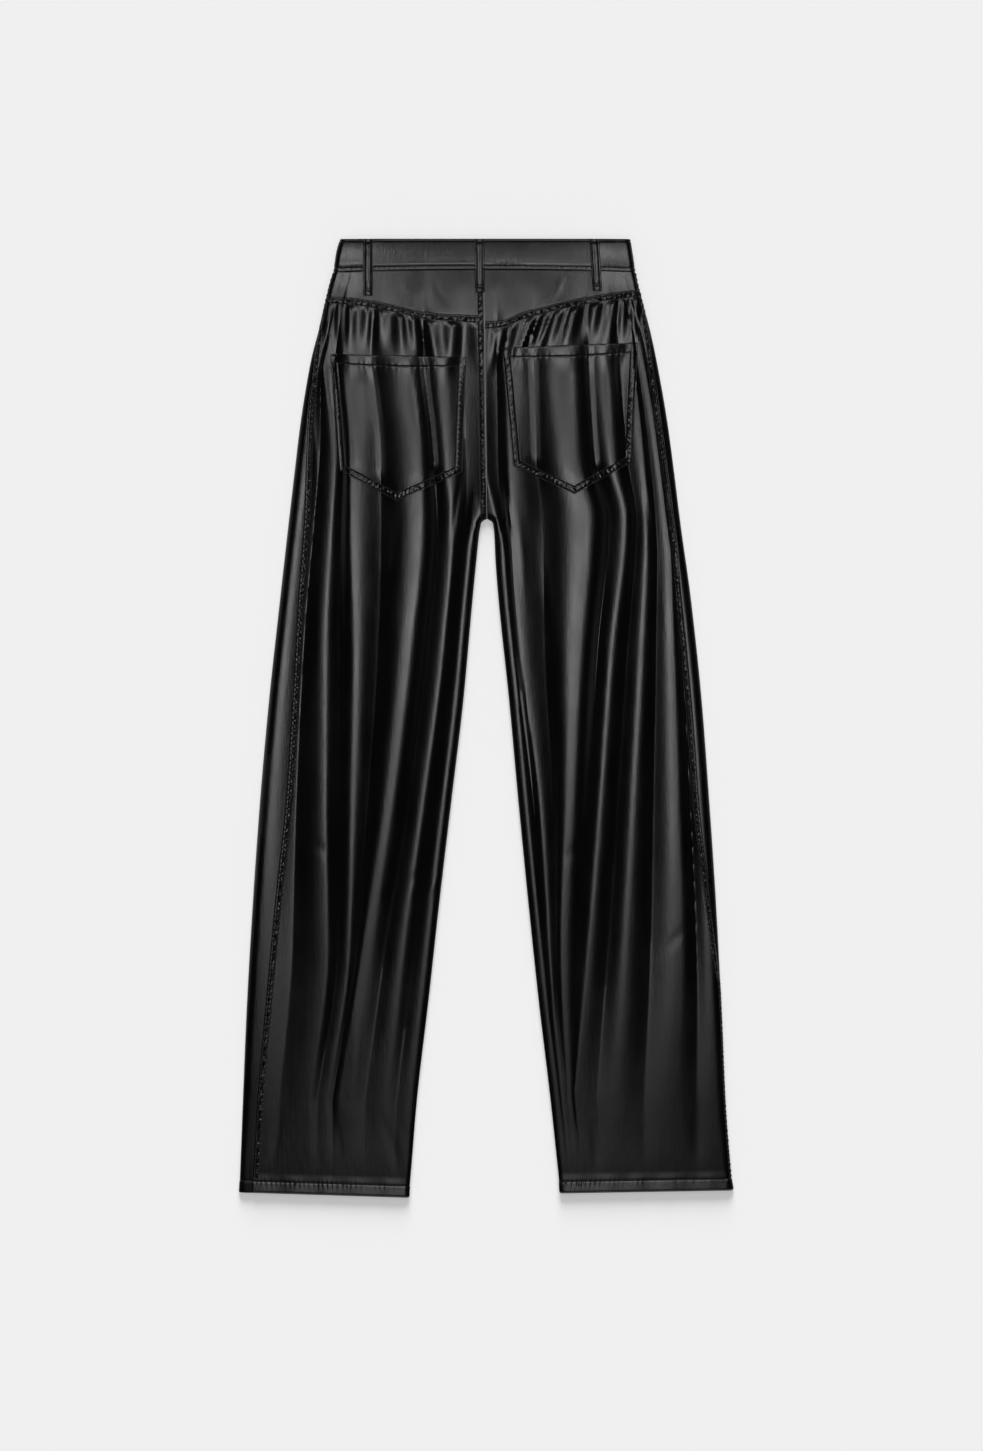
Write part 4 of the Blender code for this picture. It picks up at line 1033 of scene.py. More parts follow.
def hem_rows(side):
    """The hem's row of stitches on the back and on the front."""
    rows = []
    for under in (False, True):
        inner = SIDES[side] * float(inner_x(side, LENGTH)) + 3.0
        reach = spaced(inner, float(outer_reach(side, LENGTH)) - (4.0 if under else 3.0), 1.2)
        x = SIDES[side] * reach
        down = LENGTH - HEM_DEPTH + hem_shift(side, LENGTH, x)
        rise = hem_half(np.zeros(x.shape)) + (-STITCH_GROOVE if under else hem_relief(x, 0.0))
        rows.append(stitch_row(side, x, down, np.full(x.shape, under), rise))
    return rows


def front_levels():
    top = BAND_DEPTH_SIDE + HALF_GAP
    fold = LENGTH - HEM_DEPTH
    rows = [top + rim(WALL / 2), spaced(top + 2, 296, 3.0)]
    rows += [spaced(298, 324, 0.9), spaced(327, fold - 14, 3.6)]
    rows += [spaced(fold - 13, LENGTH - 2, 1.2), LENGTH - rim(HEM_WALL / 2)[::-1]]
    return np.concatenate(rows)


def front_down(side, level, x):
    near_waist = 1 - smooth_step(level, BAND_DEPTH_SIDE, YOKE_LEVEL)
    seam = near_waist * (band_seam(side, x) - BAND_DEPTH_SIDE)
    dip = (1 - smooth_step(level, YOKE_LEVEL, YOKE_FADE)) * front_dip(side, x)
    return level + seam + dip + hem_shift(side, level, x)


def make_front(side, material):
    start = front_levels()
    x, down, under = settle_grid(side, start, front_places, front_down, start)
    share = row_rims(start)[:, None] * front_rims()[None, :]
    below = below_hem_stitch(side, x, down)
    half = hem_half(below) * share
    groove = STITCH_GROOVE * np.exp(-(below / 0.9) ** 2)
    points, normals = cloth_points(side, x, down, under)
    outer = half - groove * share
    return wall_along("cloth_front_" + side, points, normals, outer, -half, material, 3, 1)


def make_yoke(side, material):
    top = rim(WALL / 2)
    depth = YOKE_LEVEL - BAND_DEPTH_SIDE
    middle = spaced(1.4 / depth, 1 - 1.4 / depth, 1.5 / depth)
    shares = np.concatenate((top / depth, middle, 1 - top[::-1] / depth))
    start = BAND_DEPTH_SIDE + shares * depth
    grid = settle_grid(side, shares, yoke_places, yoke_row_down, start)
    rows = rim_share(shares * depth, WALL / 2) * rim_share((1 - shares) * depth, WALL / 2)
    return back_wall("cloth_yoke_" + side, side, grid, rows, material)


# --- seam bands -----------------------------------------------------------------------------------

def band_profile(w, width):
    """Height of a felled band across its width, from 0 at its edges to 1."""
    return np.sqrt(np.clip(1 - np.abs(2 * w / width - 1) ** 5, 0.0, 1.0))


def thread_path(points, normals, rise):
    """A path for stitches: its points, sunk a little into their groove, and their normals."""
    return points + normals * (rise + THREAD * THREAD_SUNK)[..., None], normals


def stitch_row(side, x, down, under, rise, top=top_height):
    """A path for stitches on the cloth."""
    points, normals = cloth_points(side, x, down, under, top)
    return thread_path(points, normals, rise)


def stitch_grooves(w, rows):
    return sum(-STITCH_GROOVE * np.exp(-((w - row) / 0.7) ** 2) for row in rows)


def pucker(s, w, width, seed, size):
    """Small cushions between a band's two rows of stitches."""
    bulge = np.sin(np.pi * np.clip(w / width, 0.0, 1.0)) ** 1.5
    lean = PUCKER_LEAN * (w - width / 2)
    broad = ripple(s + lean, PUCKER_PITCH, seed)
    return size * bulge * (broad + 0.5 * ripple(s - lean, 0.62 * PUCKER_PITCH, seed + 1))


class Band:
    """A narrow felled band on the cloth.

    place(s, w) gives x, down and layer at s along it and w across it.
    """

    def __init__(self, side, kind, place, length, width, base=WALL / 2):
        self.side, self.place, self.length, self.width, self.base = side, place, length, width, base
        self.size, seeds = PUCKERS[kind]
        self.seed = seeds[side]
        self.rows = [row if row > 0 else width + row for row in BAND_STITCHES]

    def surface(self, s, w):
        x, down, under = self.place(s, w)
        points, normals = cloth_points(self.side, x, down, under)
        rise = (SEAM_RAISE + BAND_SUNK) * band_profile(w, self.width) - BAND_SUNK
        rise = rise + BAND_ROUND * np.sin(np.pi * np.clip(w / self.width, 0.0, 1.0))
        rise = rise + stitch_grooves(w, self.rows) + pucker(s, w, self.width, self.seed, self.size)
        return points, normals, self.base + rise

    def mesh(self, name, material):
        s = spaced(0.0, self.length, BAND_PITCH)[:, None]
        s, w = np.broadcast_arrays(s, self.width * np.array(BAND_SHARES)[None, :])
        points, normals, rise = self.surface(s, w)
        inner = np.full(s.shape, self.base - BAND_TUCK)
        return wall_along(name, points, normals, rise, inner, material, 6, 3)

    def stitch_paths(self):
        s = spaced(1.0, self.length - 1.0, 1.0)
        return [thread_path(*self.surface(s, np.full(s.shape, row))) for row in self.rows]


def outseam_band(side):
    """The felled outseam, from the waistband to the hem."""
    top = BAND_DEPTH_SIDE + 0.6
    length = LENGTH - 0.8 - top + min(HEM_ENDS[side]) - LENGTH

    def place(s, w):
        down = top + s
        seam = outseam_arc(side, down) + outseam_half_gap(side, down)
        x, under = x_at_arc(side, seam + 0.1 + w, down)
        return x, down, under

    return Band(side, "outseam", place, length, OUTSEAM_BAND)


def centre_band():
    """The felled centre back seam, on the left of its line."""
    top = BAND_DEPTH_CENTRE + 0.6
    length = CROTCH_DOWN - 2.0 - top

    def place(s, w):
        down = top + s
        return inner_x("left", down) - 0.1 - w, down, on_top(w)

    return Band("left", "centre", place, length, CENTRE_BAND)


def yoke_band(side):
    """The felled yoke seam, on the back panel just under its line."""
    sign = SIDES[side]
    start = centre_x(YOKE_LEVEL) + sign * 0.4
    length = outer_reach(side, YOKE_LEVEL) - 4.0 - sign * start

    def place(s, w):
        x = start + sign * s
        return x, yoke_down(side, x) + HALF_GAP + 0.1 + w, on_top(x)

    return Band(side, "yoke", place, length, FELL_WIDTH)


# --- pockets --------------------------------------------------------------------------------------

def pocket_point(side, u, v):
    """X and down of a place on a pocket: u runs along its mouth, and v down to its point."""
    corners = np.array(POCKETS[side])
    mouth, low = corners[[0, 1]], corners[[4, 3, 2]]
    top_x = mouth[0, 0] + (mouth[1, 0] - mouth[0, 0]) * u
    top_down = mouth[0, 1] + (mouth[1, 1] - mouth[0, 1]) * u
    low_x = np.interp(u, (0.0, POCKET_APEX, 1.0), low[:, 0])
    low_down = np.interp(u, (0.0, POCKET_APEX, 1.0), low[:, 1])
    return top_x + (low_x - top_x) * v, top_down + (low_down - top_down) * v


def pocket_sides(side):
    """Ends and inward direction of a pocket's sides: its mouth, then round from its right end."""
    corners = [np.array(corner) for corner in POCKETS[side]]
    middle = np.mean(corners, axis=0)
    sides = []
    for a, b in zip(corners, corners[1:] + corners[:1]):
        normal = np.array([-(b - a)[1], (b - a)[0]]) / np.hypot(*(b - a))
        sides.append((a, b, normal * np.sign(normal @ (middle - a))))
    return sides


def pocket_top(side, x, down):
    """The sheet under a pocket: its folds are eased, and its gathers are bridged at the mouth."""
    distances = []
    for a, _, inward in pocket_sides(side):
        distances.append(inward[0] * (x - a[0]) + inward[1] * (down - a[1]))
    inside = smooth_step(np.minimum.reduce(distances[1:]), POCKET_BAND + 0.4, POCKET_BAND + 13.0)
    heights = [top_height(side, x + shift, down) - gather_height(side, x + shift, down)
               for shift in (-POCKET_EASE, 0.0, POCKET_EASE)]
    eased = (heights[0] + 2 * heights[1] + heights[2]) / 4 + POCKET_CLEAR
    stand = POCKET_STAND * np.exp(-(distances[0] / 20.0) ** 2)
    return top_height(side, x, down) * (1 - inside) + (eased + stand) * inside


def pocket_size(side):
    """A pocket's width along its mouth, and its height from one end of it to its point."""
    corners = np.array(POCKETS[side])
    return np.hypot(*(corners[1] - corners[0])), corners[3, 1] - corners[0, 1]


def make_pocket(side, material):
    """A patch pocket with a rounded, turned mouth that stands a little open."""
    width, height = pocket_size(side)
    u = strip_steps(width, POCKET_WALL, 1.4, POCKET_PITCH) / width
    ends = rim(POCKET_WALL / 2) / height
    mouth = spaced(1.4 / height, 15.0 / height, 0.7 / height)
    rest = spaced(16.0 / height, 1 - 1.4 / height, POCKET_PITCH / height)
    v = np.concatenate((ends, mouth, rest, 1 - ends[::-1]))
    v, u = np.meshgrid(v, u, indexing="ij")
    x, down = pocket_point(side, u, v)
    points, normals = cloth_points(side, x, down, on_top(x), pocket_top)
    edges = [rim_share(u * width, POCKET_WALL / 2), rim_share((1 - u) * width, POCKET_WALL / 2)]
    edges += [rim_share(v * height, POCKET_WALL), rim_share((1 - v) * height, POCKET_WALL / 2)]
    share = np.minimum.reduce(edges)
    base = WALL / 2 + SEAM_GAP
    outer = base + POCKET_WALL * (0.5 + 0.5 * share) + mouth_relief(x, v * height) * share
    inner = base + POCKET_WALL * (0.5 - 0.5 * share)
    return wall_along("cloth_pocket_" + side, points, normals, outer, inner, material)


def mouth_relief(x, depth):
    """A pocket's turned mouth: thicker, with a groove and slight puckers at its stitches."""
    past = depth - POCKET_MOUTH_DEPTH
    turned = POCKET_MOUTH_RAISE * (1 - smooth_step(past, -0.5, 1.0))
    groove = STITCH_GROOVE * np.exp(-(past / 0.8) ** 2)
    ease = MOUTH_EASE * np.exp(-(past / 4.0) ** 2) * ripple(x, 6.5, 41)
    return turned - groove + ease


def mouth_row(side):
    """The row of stitches that holds a pocket's turned mouth."""
    u = np.linspace(0.03, 0.97, MOUTH_STITCHES)
    v = np.full(u.shape, POCKET_MOUTH_DEPTH / pocket_size(side)[1])
    x, down = pocket_point(side, u, v)
    rise = WALL / 2 + SEAM_GAP + POCKET_WALL + mouth_relief(x, POCKET_MOUTH_DEPTH + 0 * x)
    return stitch_row(side, x, down, on_top(x), rise, pocket_top)


def pocket_band(side):
    """The stitched border down both sides and round the point of a pocket."""
    sides = pocket_sides(side)[1:]
    path = [a for a, _, _ in sides] + [sides[-1][1]]
    lengths = [float(np.hypot(*(b - a))) for a, b in zip(path, path[1:])]
    stations = np.concatenate(([0.0], np.cumsum(lengths)))
    inward = [normal for _, _, normal in sides]
    mitres = [inward[0]]
    mitres += [(a + b) / (1 + a @ b) for a, b in zip(inward, inward[1:])]
    mitres.append(inward[-1])
    path, mitres = np.array(path), np.array(mitres)

    def place(s, w):
        x = np.interp(s, stations, path[:, 0]) + w * np.interp(s, stations, mitres[:, 0])
        down = np.interp(s, stations, path[:, 1]) + w * np.interp(s, stations, mitres[:, 1])
        return x, down, on_top(x)

    base = WALL / 2 + SEAM_GAP + POCKET_WALL
    return Band(side, "pocket", place, stations[-1], POCKET_BAND, base)


# --- waistband, loops and button ------------------------------------------------------------------

def band_back_places(side, down):
    """Columns of the waistband's back half, from the side fold to the centre back."""
    turn = np.concatenate((np.linspace(0.0, 1.0, TURN_COLUMNS), np.ones(BAND_COLUMNS)))
    flat = np.concatenate((np.zeros(TURN_COLUMNS), np.linspace(0.0, 1.0, BAND_COLUMNS + 1)[1:]))
    curve = sheet_value("round_top", down) * math.pi / 2
    centre = arc_at_x(side, centre_x(down), down, False)
    return x_at_arc(side, curve * (turn - flat) + centre * flat, down)


def band_front_places(side, down):
    """Columns of the waistband's front half, from the centre front to the side fold."""
    sign = SIDES[side]
    away = np.linspace(0.0, 1.0, TURN_COLUMNS)[:-1]
    lap = np.concatenate((BAND_LAP * np.linspace(1.0, 0.0, LAP_COLUMNS), -BAND_LAP_RAMP * away[1:]))
    offsets = lap if side == "left" else BAND_LAP_RAMP * away
    turn = np.concatenate((np.linspace(0.0, 1.0, BAND_COLUMNS + 1)[:-1], np.ones(TURN_COLUMNS - 1)))
    edge = np.concatenate((np.zeros(BAND_COLUMNS), away))
    near = columns_of(down, offsets, 0)
    rest = columns_of(down, turn, len(offsets))
    curve = sheet_value("round_under", rest) * math.pi / 2
    opening = arc_at_x(side, CENTRE_SEAM_TOP_X + sign * BAND_LAP_RAMP, rest, True)
    arcs = -opening * (1 - turn) - curve * (turn - edge)
    x = CENTRE_SEAM_TOP_X + offsets + 0.0 * near
    return join_columns((x, np.full(x.shape, True)), x_at_arc(side, arcs, rest))


def band_back_down(side, share, x):
    return share * (band_seam(side, x) - HALF_GAP)


def band_front_down(side, share, x):
    return band_back_down(side, share, x) + front_dip(side, x)


def band_levels():
    edge = rim(BAND_WALL / 2) / BAND_DEPTH_SIDE
    middle = spaced(1.5 / BAND_DEPTH_SIDE, 1 - 1.5 / BAND_DEPTH_SIDE, 1.0 / BAND_DEPTH_SIDE)
    return np.concatenate((edge, middle, 1 - edge[::-1]))


def band_relief(x, share):
    """The waistband's grooves at its stitches and the small creases along its back."""
    depth = share * BAND_DEPTH_SIDE
    above = BAND_ROWS[1] - depth
    rows = sum(np.exp(-((depth - row) / 0.8) ** 2) for row in BAND_ROWS)
    bulge = BAND_BULGE * np.sin(np.pi * np.clip(depth / BAND_ROWS[1], 0.0, 1.0))
    rolled = ROLL_ABOVE_ROW * np.exp(-((above - 2.4) / 1.8) ** 2)
    rolled = rolled * (1 - smooth_step(x, -16.0, 12.0))
    strip = WAIST_PUCKER * np.exp(-((above + 1.5) / 2.6) ** 2) * ripple(x, 5.5, 53)
    pulled = np.exp(-((x - WAIST_PULL_X) / 17.0) ** 2) * np.exp(-((above - 2.5) / 4.5) ** 2)
    creased = WAIST_PULL * pulled * ripple(x + 0.5 * np.abs(depth - 27.0), 7.0, 59)
    return bulge + rolled + strip + creased - STITCH_GROOVE * rows


def band_sheet(side):
    """Points, normals and relief of half the waistband, from the centre front round to the back."""
    shares = band_levels()
    start = shares * BAND_DEPTH_SIDE
    front = settle_grid(side, shares, band_front_places, band_front_down, start)
    back = settle_grid(side, shares, band_back_places, band_back_down, start)
    x, down, under = (np.concatenate(parts, axis=1) for parts in zip(front, back))
    points, normals = cloth_points(side, x, down, under)
    if side == "left":
        lap = front[0].shape[1]
        raise_lap(points[:, :lap], normals[:, :lap])
    relief = band_relief(x, shares[:, None] + 0 * x)
    return points, normals, np.where(under, np.minimum(relief, 0.0), relief)


def make_band(material):
    """The waistband: one doubled strip that goes right round and laps at the centre front."""
    sides = [band_sheet("left"), [part[:, -2::-1] for part in band_sheet("right")]]
    points, normals, relief = (np.concatenate(parts, axis=1) for parts in zip(*sides))
    distance = band_levels() * BAND_DEPTH_SIDE
    distance = np.minimum(distance, BAND_DEPTH_SIDE - distance)
    half = BAND_WALL / 2 * rim_share(distance, BAND_WALL / 2)
    outer = half[:, None] + relief * (half / half.max())[:, None]
    return wall_along("cloth_waistband", points, normals, outer, -half[:, None], material)


def waist_rows():
    """The waistband's rows of stitches, broken where the belt loops lie on them."""
    rows = []
    stops = [WAIST_ENDS[0]] + sorted(row[1] for row in BACK_LOOPS) + [WAIST_ENDS[1]]
    for depth in BAND_ROWS:
        for a, b in zip(stops, stops[1:]):
            for side in SIDES:
                left = side == "left"
                low = a if left else max(a, CENTRE_SEAM_TOP_X)
                high = min(b, CENTRE_SEAM_TOP_X) if left else b
                if high - low < 20:
                    continue
                x = spaced(low + LOOP_WIDTH / 2 + 0.5, high - LOOP_WIDTH / 2 - 0.5, 1.2)
                rise = BAND_WALL / 2 + band_relief(x, depth / BAND_DEPTH_SIDE)
                down = band_back_down(side, depth / BAND_DEPTH_SIDE, x)
                rows.append(stitch_row(side, x, down, on_top(x), rise))
    return rows


def top_edge_row():
    """The close stitches over the waistband's upper edge."""
    rows = []
    for side in SIDES:
        x = SIDES[side] * spaced(*EDGE_ROW, 1.0)
        rise = np.full(x.shape, BAND_WALL / 2 - 0.35)
        rows.append(stitch_row(side, x, np.full(x.shape, EDGE_ROW_DOWN), on_top(x), rise))
    return rows


def loop_length(row):
    return row[4] - row[3]


def loop_x(row, s, w):
    """X of a place on a belt loop, at s along it and w across it."""
    return row[1] + (row[2] - row[1]) * s / loop_length(row) - LOOP_WIDTH / 2 + w


def loop_grid(row, wall, margins, pitches):
    """A grid of places on a belt loop, and how much of its wall is left at each."""
    length = loop_length(row)
    along = strip_steps(length, wall, margins[0], pitches[0])
    across = strip_steps(LOOP_WIDTH, wall, margins[1], pitches[1])
    s, w = np.meshgrid(along, across, indexing="ij")
    return s, w, strip_share(s, w, length, LOOP_WIDTH, wall)


def loop_surface(row, s, w):
    """Points of the cloth under a belt loop, their normals and the height of its outer face."""
    _, x_top, _, down_top, _ = row
    length = loop_length(row)
    x = loop_x(row, s, w)
    points, normals = cloth_points("left" if x_top < 0 else "right", x, down_top + s, on_top(x))
    crown = LOOP_BULGE * (1 - (2 * w / LOOP_WIDTH - 1) ** 2)
    grooves = stitch_grooves(w, (LOOP_ROW, LOOP_WIDTH - LOOP_ROW))
    slack = LOOP_SLACK * np.sin(np.pi * np.clip(s / length, 0, 1))
    slack = slack + 0.05 * ripple(s, 13.0, int(abs(x_top)))
    tacked = 0.6 * np.exp(-((s - length + LOOP_TACK) / 2.0) ** 2)
    pressed = 0.3 * np.exp(-((s - 3.0) / 1.6) ** 2)
    return points, normals, crown + grooves + slack - tacked - pressed


def loop_base():
    """Height of a loop's inner face over the middle of the waistband."""
    return BAND_WALL / 2 + SEAM_GAP + LOOP_CLEAR


def loop_rows(row):
    """A belt loop's two rows of stitches and the tack across its lower end."""
    length = loop_length(row)
    top = loop_base() + LOOP_WALL
    s = spaced(4.0, length - LOOP_TACK - 2.0, 1.0)
    places = [(s, np.full(s.shape, w)) for w in (LOOP_ROW, LOOP_WIDTH - LOOP_ROW)]
    across = spaced(1.2, LOOP_WIDTH - 1.2, 0.6)
    for shift in (-0.9, -0.3, 0.3, 0.9):
        places.append((np.full(across.shape, length - LOOP_TACK + shift), across))
    paths = []
    for along, w in places:
        points, normals, form = loop_surface(row, along, w)
        paths.append(thread_path(points, normals, top + form))
    return paths


def make_loop(row, material):
    """A belt loop on the back: a folded strip with rounded edges and a pressed end."""
    s, w, share = loop_grid(row, LOOP_WALL, (1.2, 1.1), (0.55, 0.5))
    points, normals, form = loop_surface(row, s, w)
    outer = loop_base() + LOOP_WALL * (0.5 + 0.5 * share) + form * share
    inner = loop_base() + LOOP_WALL * (0.5 - 0.5 * share)
    return wall_along("cloth_" + row[0], points, normals, outer, inner, material, 3, 2)


def make_front_loop(row, material):
    """A belt loop on the underside, pressed flat by the weight on it."""
    s, w, share = loop_grid(row, FRONT_LOOP_WALL, (1.2, 1.2), (1.0, 0.6))
    x = loop_x(row, s, w)
    half = FRONT_LOOP_WALL / 2
    groove = np.abs(stitch_grooves(w, (LOOP_ROW, LOOP_WIDTH - LOOP_ROW)))
    points = np.stack((x, LENGTH / 2 - row[3] - s, 0 * x + half), axis=-1)
    lower, upper = points.copy(), points.copy()
    lower[..., 2] -= half * share - groove * share
    upper[..., 2] += half * share
    return wall_object("cloth_" + row[0], lower, upper, material, 3, 2)


def make_button(material):
    """A four-hole horn button, face down: a dished middle, a rounded rim and four sunk holes."""
    sectors, centre_y = BUTTON_SECTORS, LENGTH / 2 - FRONT_DIP - BAND_DEPTH_CENTRE / 2
    dish = np.linspace(BUTTON_CORE, DISH_SHARE * BUTTON_RADIUS, DISH_RINGS)
    profile = [(radius, BUTTON_DISH) for radius in dish]
    profile += [(share * BUTTON_RADIUS, z) for share, z in BUTTON_RIM]
    profile.append((BUTTON_CORE, BUTTON_THICKNESS))
    angles = np.linspace(0, 2 * np.pi, sectors, endpoint=False)
    points, faces = [], []
    for index, (radius, z) in enumerate(profile):
        for angle in angles:
            x, y = radius * math.cos(angle), radius * math.sin(angle)
            near = math.hypot(abs(x) - HOLE_REACH, abs(y) - HOLE_REACH)
            hole = HOLE_DEPTH * max(0.0, 1 - (near / HOLE_RADIUS) ** 4)
            points.append((BUTTON_X + x, centre_y + y, z + (hole if index < DISH_RINGS else 0.0)))
    for index in range(len(profile) - 1):
        for sector in range(sectors):
            a, b = index * sectors + sector, index * sectors + (sector + 1) % sectors
            faces.append((a, a + sectors, b + sectors, b))
    faces.append(tuple(range(sectors)))
    faces.append(tuple(range((len(profile) - 1) * sectors, len(profile) * sectors))[::-1])
    return mesh_object("horn_button", points, faces, material)


# --- stitches -------------------------------------------------------------------------------------

def along_path(points, pitch):
    """Distances along a path of points at which its stitches start."""
    steps = np.linalg.norm(np.diff(points, axis=0), axis=1)
    travelled = np.concatenate(([0.0], np.cumsum(steps)))
    count = int(travelled[-1] / pitch)
    return travelled, (np.arange(count) + 0.15) * travelled[-1] / max(count, 1)


def between(values, travelled, at):
    """The values of a path's points at a distance along it."""
    return np.array([np.interp(at, travelled, values[:, axis]) for axis in range(3)])


def stitch_mesh(name, paths, material, pitch=STITCH_PITCH, length=STITCH_LENGTH):
    """Short arched lengths of thread along each path, whose ends dip into the cloth."""
    radius, rings, sectors = THREAD / 2, THREAD_RINGS, THREAD_SECTORS
    verts, faces = [], []
    turn = np.linspace(0, 2 * np.pi, sectors, endpoint=False)
    for points, normals in paths:
        travelled, starts = along_path(points, pitch)
        for start in starts:
            base = len(verts)
            for share, width, rise in rings:
                at = start + share * length
                up = between(normals, travelled, at)
                ahead = between(points, travelled, at + 0.4)
                behind = between(points, travelled, at - 0.4)
                across = np.cross(ahead - behind, up)
                across /= np.linalg.norm(across)
                centre = between(points, travelled, at) + up * rise * radius
                for angle in turn:
                    spoke = math.cos(angle) * across + math.sin(angle) * up
                    verts.append(centre + radius * width * spoke)
            for ring in range(base, base + (len(rings) - 1) * sectors, sectors):
                for sector in range(sectors):
                    a, b = ring + sector, ring + (sector + 1) % sectors
                    faces.append((a, b, b + sectors, a + sectors))
            faces.append(tuple(range(base, base + sectors))[::-1])
            faces.append(tuple(range(len(verts) - sectors, len(verts))))
    return mesh_object(name, verts, faces, material)


# --- materials ------------------------------------------------------------------------------------

def add_node(tree, kind, **values):
    node = tree.nodes.new(kind)
    for name, value in values.items():
        if name in node.inputs:
            node.inputs[name].default_value = value
        else:
            setattr(node, name, value)
    return node


def new_material(name):
    """A material with nodes: itself, its tree and its shader."""
    material = bpy.data.materials.new(name)
    material.use_nodes = True
    return material, material.node_tree, material.node_tree.nodes["Principled BSDF"]


def ramp(tree, source, stops, smoothing="LINEAR"):
    """A colour ramp fed by source, with (place, grey) stops."""
    node = tree.nodes.new("ShaderNodeValToRGB")
    node.color_ramp.interpolation = smoothing
    elements = node.color_ramp.elements
    while len(elements) < len(stops):
        elements.new(0.5)
    for element, (place, grey) in zip(elements, stops):
        element.position = place
        element.color = (grey, grey, grey, 1.0)
    tree.links.new(source, node.inputs["Fac"])
    return node.outputs["Color"]


def stretched(tree, scale):
    """Object coordinates, scaled differently along each axis."""
    coordinates = tree.nodes.new("ShaderNodeTexCoord")
    mapping = add_node(tree, "ShaderNodeMapping", Scale=scale)
    tree.links.new(coordinates.outputs["Object"], mapping.inputs["Vector"])
    return mapping.outputs["Vector"]


def noise(tree, scale, detail=3.0):
    node = add_node(tree, "ShaderNodeTexNoise", Scale=1.0, Detail=detail, Roughness=0.5)
    tree.links.new(stretched(tree, scale), node.inputs["Vector"])
    return node.outputs["Fac"]


def bump(tree, height, strength, distance, normal=None):
    node = add_node(tree, "ShaderNodeBump", Strength=strength, Distance=distance)
    tree.links.new(height, node.inputs["Height"])
    if normal is not None:
        tree.links.new(normal, node.inputs["Normal"])
    return node.outputs["Normal"]


def leather_material():
    """Black coated cloth: a smooth film with a fine pore grain over its backing's threads."""
    material, tree, shader = new_material("faux_leather")
    shader.inputs["IOR"].default_value = 1.5
    cloud = noise(tree, (14, 9, 14))
    tree.links.new(ramp(tree, cloud, FILM_GREY), shader.inputs["Base Color"])
    wear = noise(tree, (60, 22, 60), detail=5.0)
    tree.links.new(ramp(tree, wear, FILM_ROUGHNESS), shader.inputs["Roughness"])
    scale, strength, depth = PORES
    pores = tree.nodes.new("ShaderNodeTexVoronoi")
    pores.inputs["Scale"].default_value = 1.0
    tree.links.new(stretched(tree, scale), pores.inputs["Vector"])
    normal = bump(tree, pores.outputs["Distance"], strength, depth)
    for scale, detail, strength, depth in FILM_RELIEF:
        normal = bump(tree, noise(tree, scale, detail), strength, depth, normal)
    tree.links.new(normal, shader.inputs["Normal"])
    return material


def thread_material():
    material, tree, shader = new_material("black_thread")
    fibre = noise(tree, (2600, 2600, 2600), detail=2.0)
    tree.links.new(ramp(tree, fibre, THREAD_GREY), shader.inputs["Base Color"])
    shader.inputs["Roughness"].default_value = 0.5
    shader.inputs["Sheen Weight"].default_value = 0.3
    tree.links.new(bump(tree, fibre, 0.5, 0.0001), shader.inputs["Normal"])
    return material


def horn_material():
    material, tree, shader = new_material("dark_horn")
    streaks = noise(tree, (90, 420, 90), detail=4.0)
    tree.links.new(ramp(tree, streaks, HORN_GREY), shader.inputs["Base Color"])
    tree.links.new(ramp(tree, streaks, HORN_ROUGHNESS), shader.inputs["Roughness"])
    tree.links.new(bump(tree, noise(tree, (900, 900, 900)), 0.05, 0.0001), shader.inputs["Normal"])
    return material


# --- stage ----------------------------------------------------------------------------------------

def plane(name, size, height, material):
    """A level square of one material."""
    bpy.ops.mesh.primitive_plane_add(size=size, location=(0, 0, height))
    item = bpy.context.object
    item.name = name
    item.data.materials.append(material)
    return item


def make_floor():
    material, _, shader = new_material("pale_floor")
    shader.inputs["Base Color"].default_value = (0.8, 0.8, 0.8, 1)
    shader.inputs["Roughness"].default_value = 1.0
    shader.inputs["Specular IOR Level"].default_value = 0.0
    shader.inputs["Emission Color"].default_value = (1, 1, 1, 1)
    shader.inputs["Emission Strength"].default_value = FLOOR_GLOW
    plane("floor", FLOOR_SIZE, 0, material)


def area_light(name, location, size, radiance, glossy=True, diffuse=True):
    """A rectangle of light that faces down."""
    light = bpy.data.lights.new(name, "AREA")
    light.shape = "RECTANGLE"
    light.size, light.size_y = size
    light.energy = radiance * math.pi * size[0] * size[1]
    item = placed(name, light, location)
    item.visible_glossy = glossy
    item.visible_diffuse = diffuse


def graded(tree, source, low, high, stops):
    """A smooth curve of brightness along a coordinate, as a share of the brightest stop."""
    spread = add_node(tree, "ShaderNodeMapRange")
    spread.inputs["From Min"].default_value = low
    spread.inputs["From Max"].default_value = high
    tree.links.new(source, spread.inputs["Value"])
    top = max(value for _, value in stops)
    node_stops = [((place - low) / (high - low), value / top) for place, value in stops]
    return ramp(tree, spread.outputs["Result"], node_stops, "EASE")


